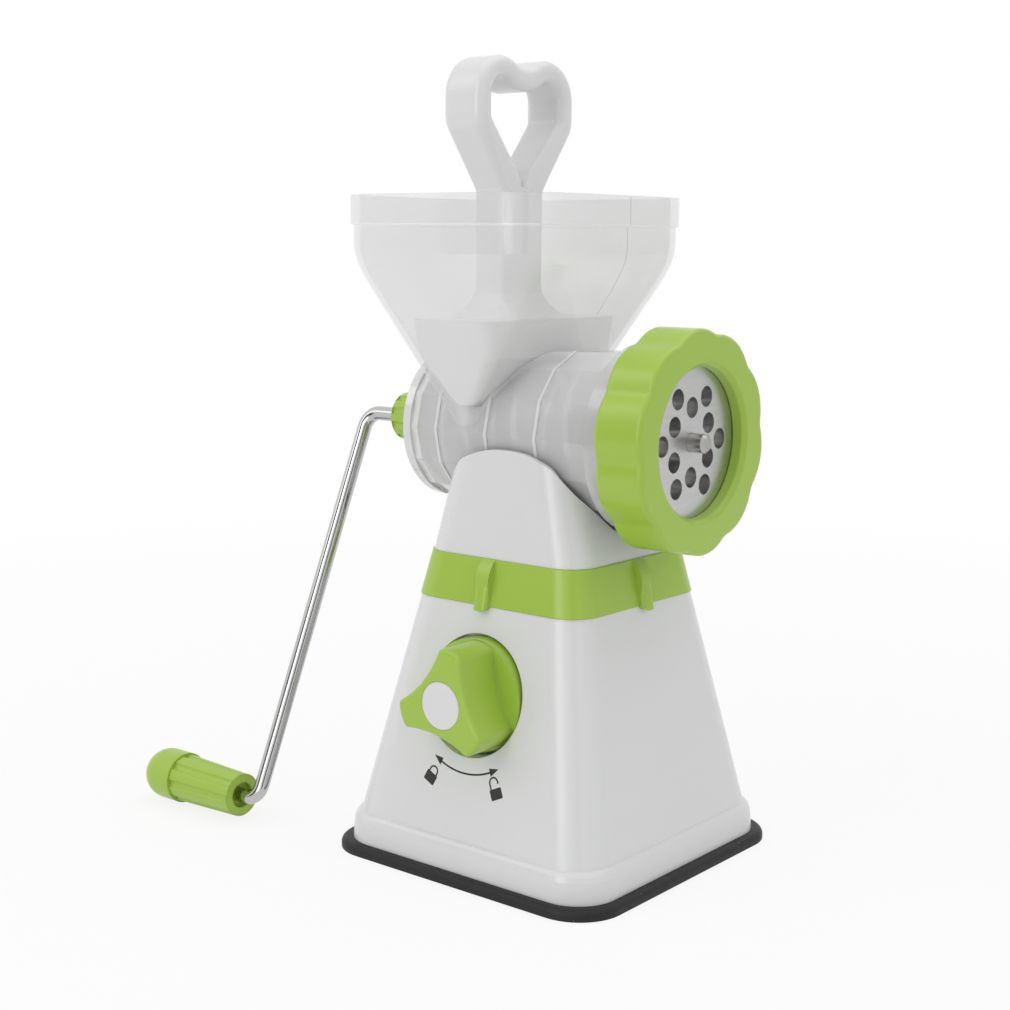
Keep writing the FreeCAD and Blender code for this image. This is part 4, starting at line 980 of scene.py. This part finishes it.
@dataclass(frozen=True)
class Card:
    """Upright card around the crank, bright or dark, that only reflections show."""

    name: str
    bearing: float
    width: float
    tone: float
    distance: float = 1.0
    height: float = 1.1
    unseen_by: tuple[str, ...] = ("camera", "diffuse", "transmission", "volume_scatter", "shadow")

    def build(self) -> None:
        """Stand the card on the floor, square to the crank."""
        turn = math.radians(self.bearing)
        out = Vector((math.cos(turn), math.sin(turn), 0.0))
        along = Vector((-out.y, out.x, 0.0)) * (self.width / 2)
        foot = Vector((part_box("crank_rod")[0].x, 0.0, 0.0)) + out * self.distance
        rise = Vector((0.0, 0.0, self.height))
        corners = [foot - along, foot + along, foot + along + rise, foot - along + rise]
        mesh = bpy.data.meshes.new(self.name)
        mesh.from_pydata(corners, [], [(0, 1, 2, 3)])
        material = bpy.data.materials.new(self.name)
        board = NodeBoard(material)
        glow = board.add("ShaderNodeEmission")
        board.fill(glow, Color=(self.tone, self.tone, self.tone))
        board.fill(board.tree.nodes["Material Output"], Surface=glow.outputs["Emission"])
        mesh.materials.append(material)
        card = put(self.name, mesh)
        for ray in self.unseen_by:
            setattr(card, "visible_" + ray, False)


@dataclass(frozen=True)
class Lamp:
    """Soft rectangular lamp, in metres and watts."""

    name: str
    place: Point3
    aim: Point3
    size: Point2
    power: float

    def build(self) -> None:
        """Hang the lamp, facing its aim."""
        data = bpy.data.lights.new(self.name, "AREA")
        data.shape = "RECTANGLE"
        data.size, data.size_y = self.size
        data.energy = self.power
        lamp = put(self.name, data)
        lamp.location = self.place
        lamp.rotation_euler = (Vector(self.aim) - Vector(self.place)).to_track_quat("-Z", "Y").to_euler()


@dataclass
class Studio:
    """Pale floor, soft light and the camera, in metres and degrees."""

    camera_place: Point3 = (0.41934, -0.54869, 0.25235)
    azimuth: float = 39.22
    pitch: float = 8.85
    roll: float = 0.42
    lens: float = 59.82
    sensor: float = 36.0
    nearest: float = 0.01
    floor_half: float = 6.0
    floor_drop: float = 0.0002
    floor_tone: Colour = (0.9, 0.9, 0.9)
    floor_glow: Point2 = (0.84, 1.0)
    glow_reach: Point2 = (0.22, 0.95)
    ambient: float = 0.62
    clear_layers: int = 24
    cards: tuple[Card, ...] = (
        Card("left_dark_card", -112.0, 0.42, 0.12),
        Card("bright_card", -78.0, 0.34, 2.4),
        Card("slim_dark_card", -40.0, 0.22, 0.05),
        Card("right_grey_card", 20.0, 1.5, 0.75))
    lamps: tuple[Lamp, ...] = (
        Lamp("key_lamp", (-0.75, -1.0, 1.05), (0.0, 0.0, 0.14), (0.9, 0.9), 3.0),
        Lamp("corner_strip", (-0.10, -1.0, 0.55), (0.0, 0.0, 0.14), (0.10, 0.9), 1.2),
        Lamp("side_fill", (1.15, 0.15, 0.75), (0.0, 0.0, 0.16), (1.0, 1.0), 1.5),
        Lamp("top_lamp", (0.1, 0.2, 1.3), (0.0, 0.0, 0.1), (1.2, 1.2), 3.5))

    def camera(self) -> None:
        """Place the camera at the photograph's angle."""
        turn = math.radians(self.azimuth)
        drop = math.radians(self.pitch)
        tilt = math.radians(self.roll)
        ahead = Vector((-math.sin(turn) * math.cos(drop), math.cos(turn) * math.cos(drop), -math.sin(drop)))
        right = Vector((math.cos(turn), math.sin(turn), 0.0))
        above = right.cross(ahead)
        side = right * math.cos(tilt) + above * math.sin(tilt)
        top = above * math.cos(tilt) - right * math.sin(tilt)
        data = bpy.data.cameras.new("photo_camera")
        data.lens = self.lens
        data.sensor_width = self.sensor
        data.clip_start = self.nearest
        camera = put("photo_camera", data)
        turned = Matrix((side, top, -ahead)).transposed().to_4x4()
        camera.matrix_world = Matrix.Translation(Vector(self.camera_place)) @ turned
        bpy.context.scene.camera = camera

    def floor(self) -> None:
        """Lay a wide pale floor that keeps a soft shadow."""
        half = self.floor_half
        corners = [(x * half, y * half, -self.floor_drop) for x, y in ((-1, -1), (1, -1), (1, 1), (-1, 1))]
        mesh = bpy.data.meshes.new("floor")
        mesh.from_pydata(corners, [], [(0, 1, 2, 3)])
        floor = put("floor", mesh)
        board = FinishBoard("pale_floor")
        material = board.finish(Base_Color=self.floor_tone, Roughness=1.0, Specular_IOR_Level=0.0)
        mesh.materials.append(material)
        away = board.add("ShaderNodeVectorMath", operation="LENGTH")
        board.feed(away.inputs[0], board.place)
        rise = board.spread(away.outputs["Value"], self.floor_glow, self.glow_reach)
        mix = board.add("ShaderNodeMixShader")
        board.feed(mix.inputs[0], board.sum("MULTIPLY", board.seen_directly(), rise))
        board.feed(mix.inputs[1], board.shader.outputs["BSDF"])
        board.feed(mix.inputs[2], board.add("ShaderNodeEmission").outputs["Emission"])
        board.fill(board.tree.nodes["Material Output"], Surface=mix.outputs["Shader"])

    def world(self) -> None:
        """White background with an even, plain ambient light."""
        world = bpy.data.worlds.new("studio_world")
        board = NodeBoard(world)
        strength = board.spread(board.seen_directly(), (self.ambient, 1.0), (0.0, 1.0))
        board.fill(board.tree.nodes["Background"], Color=(1.0, 1.0, 1.0), Strength=strength)
        bpy.context.scene.world = world

    def build(self) -> None:
        """Set up world, floor, cards, lamps and camera."""
        bpy.context.scene.view_settings.view_transform = "Standard"
        bpy.context.scene.cycles.transparent_max_bounces = self.clear_layers
        self.world()
        self.floor()
        for thing in (*self.cards, *self.lamps):
            thing.build()
        self.camera()


def main() -> None:
    """Dress the solids, add the printed and moulded details and light the scene."""
    logging.basicConfig(level=logging.INFO)
    finishes = Finishes()
    for assembly in (SuctionBase(), FeedTube(), CuttingHead(), Crank(), Pusher(), LockGear()):
        assembly.dress(finishes)
    KnobLegend().build(finishes)
    HopperSeam().build(finishes)
    Studio().build()


if __name__ == "__main__":
    main()
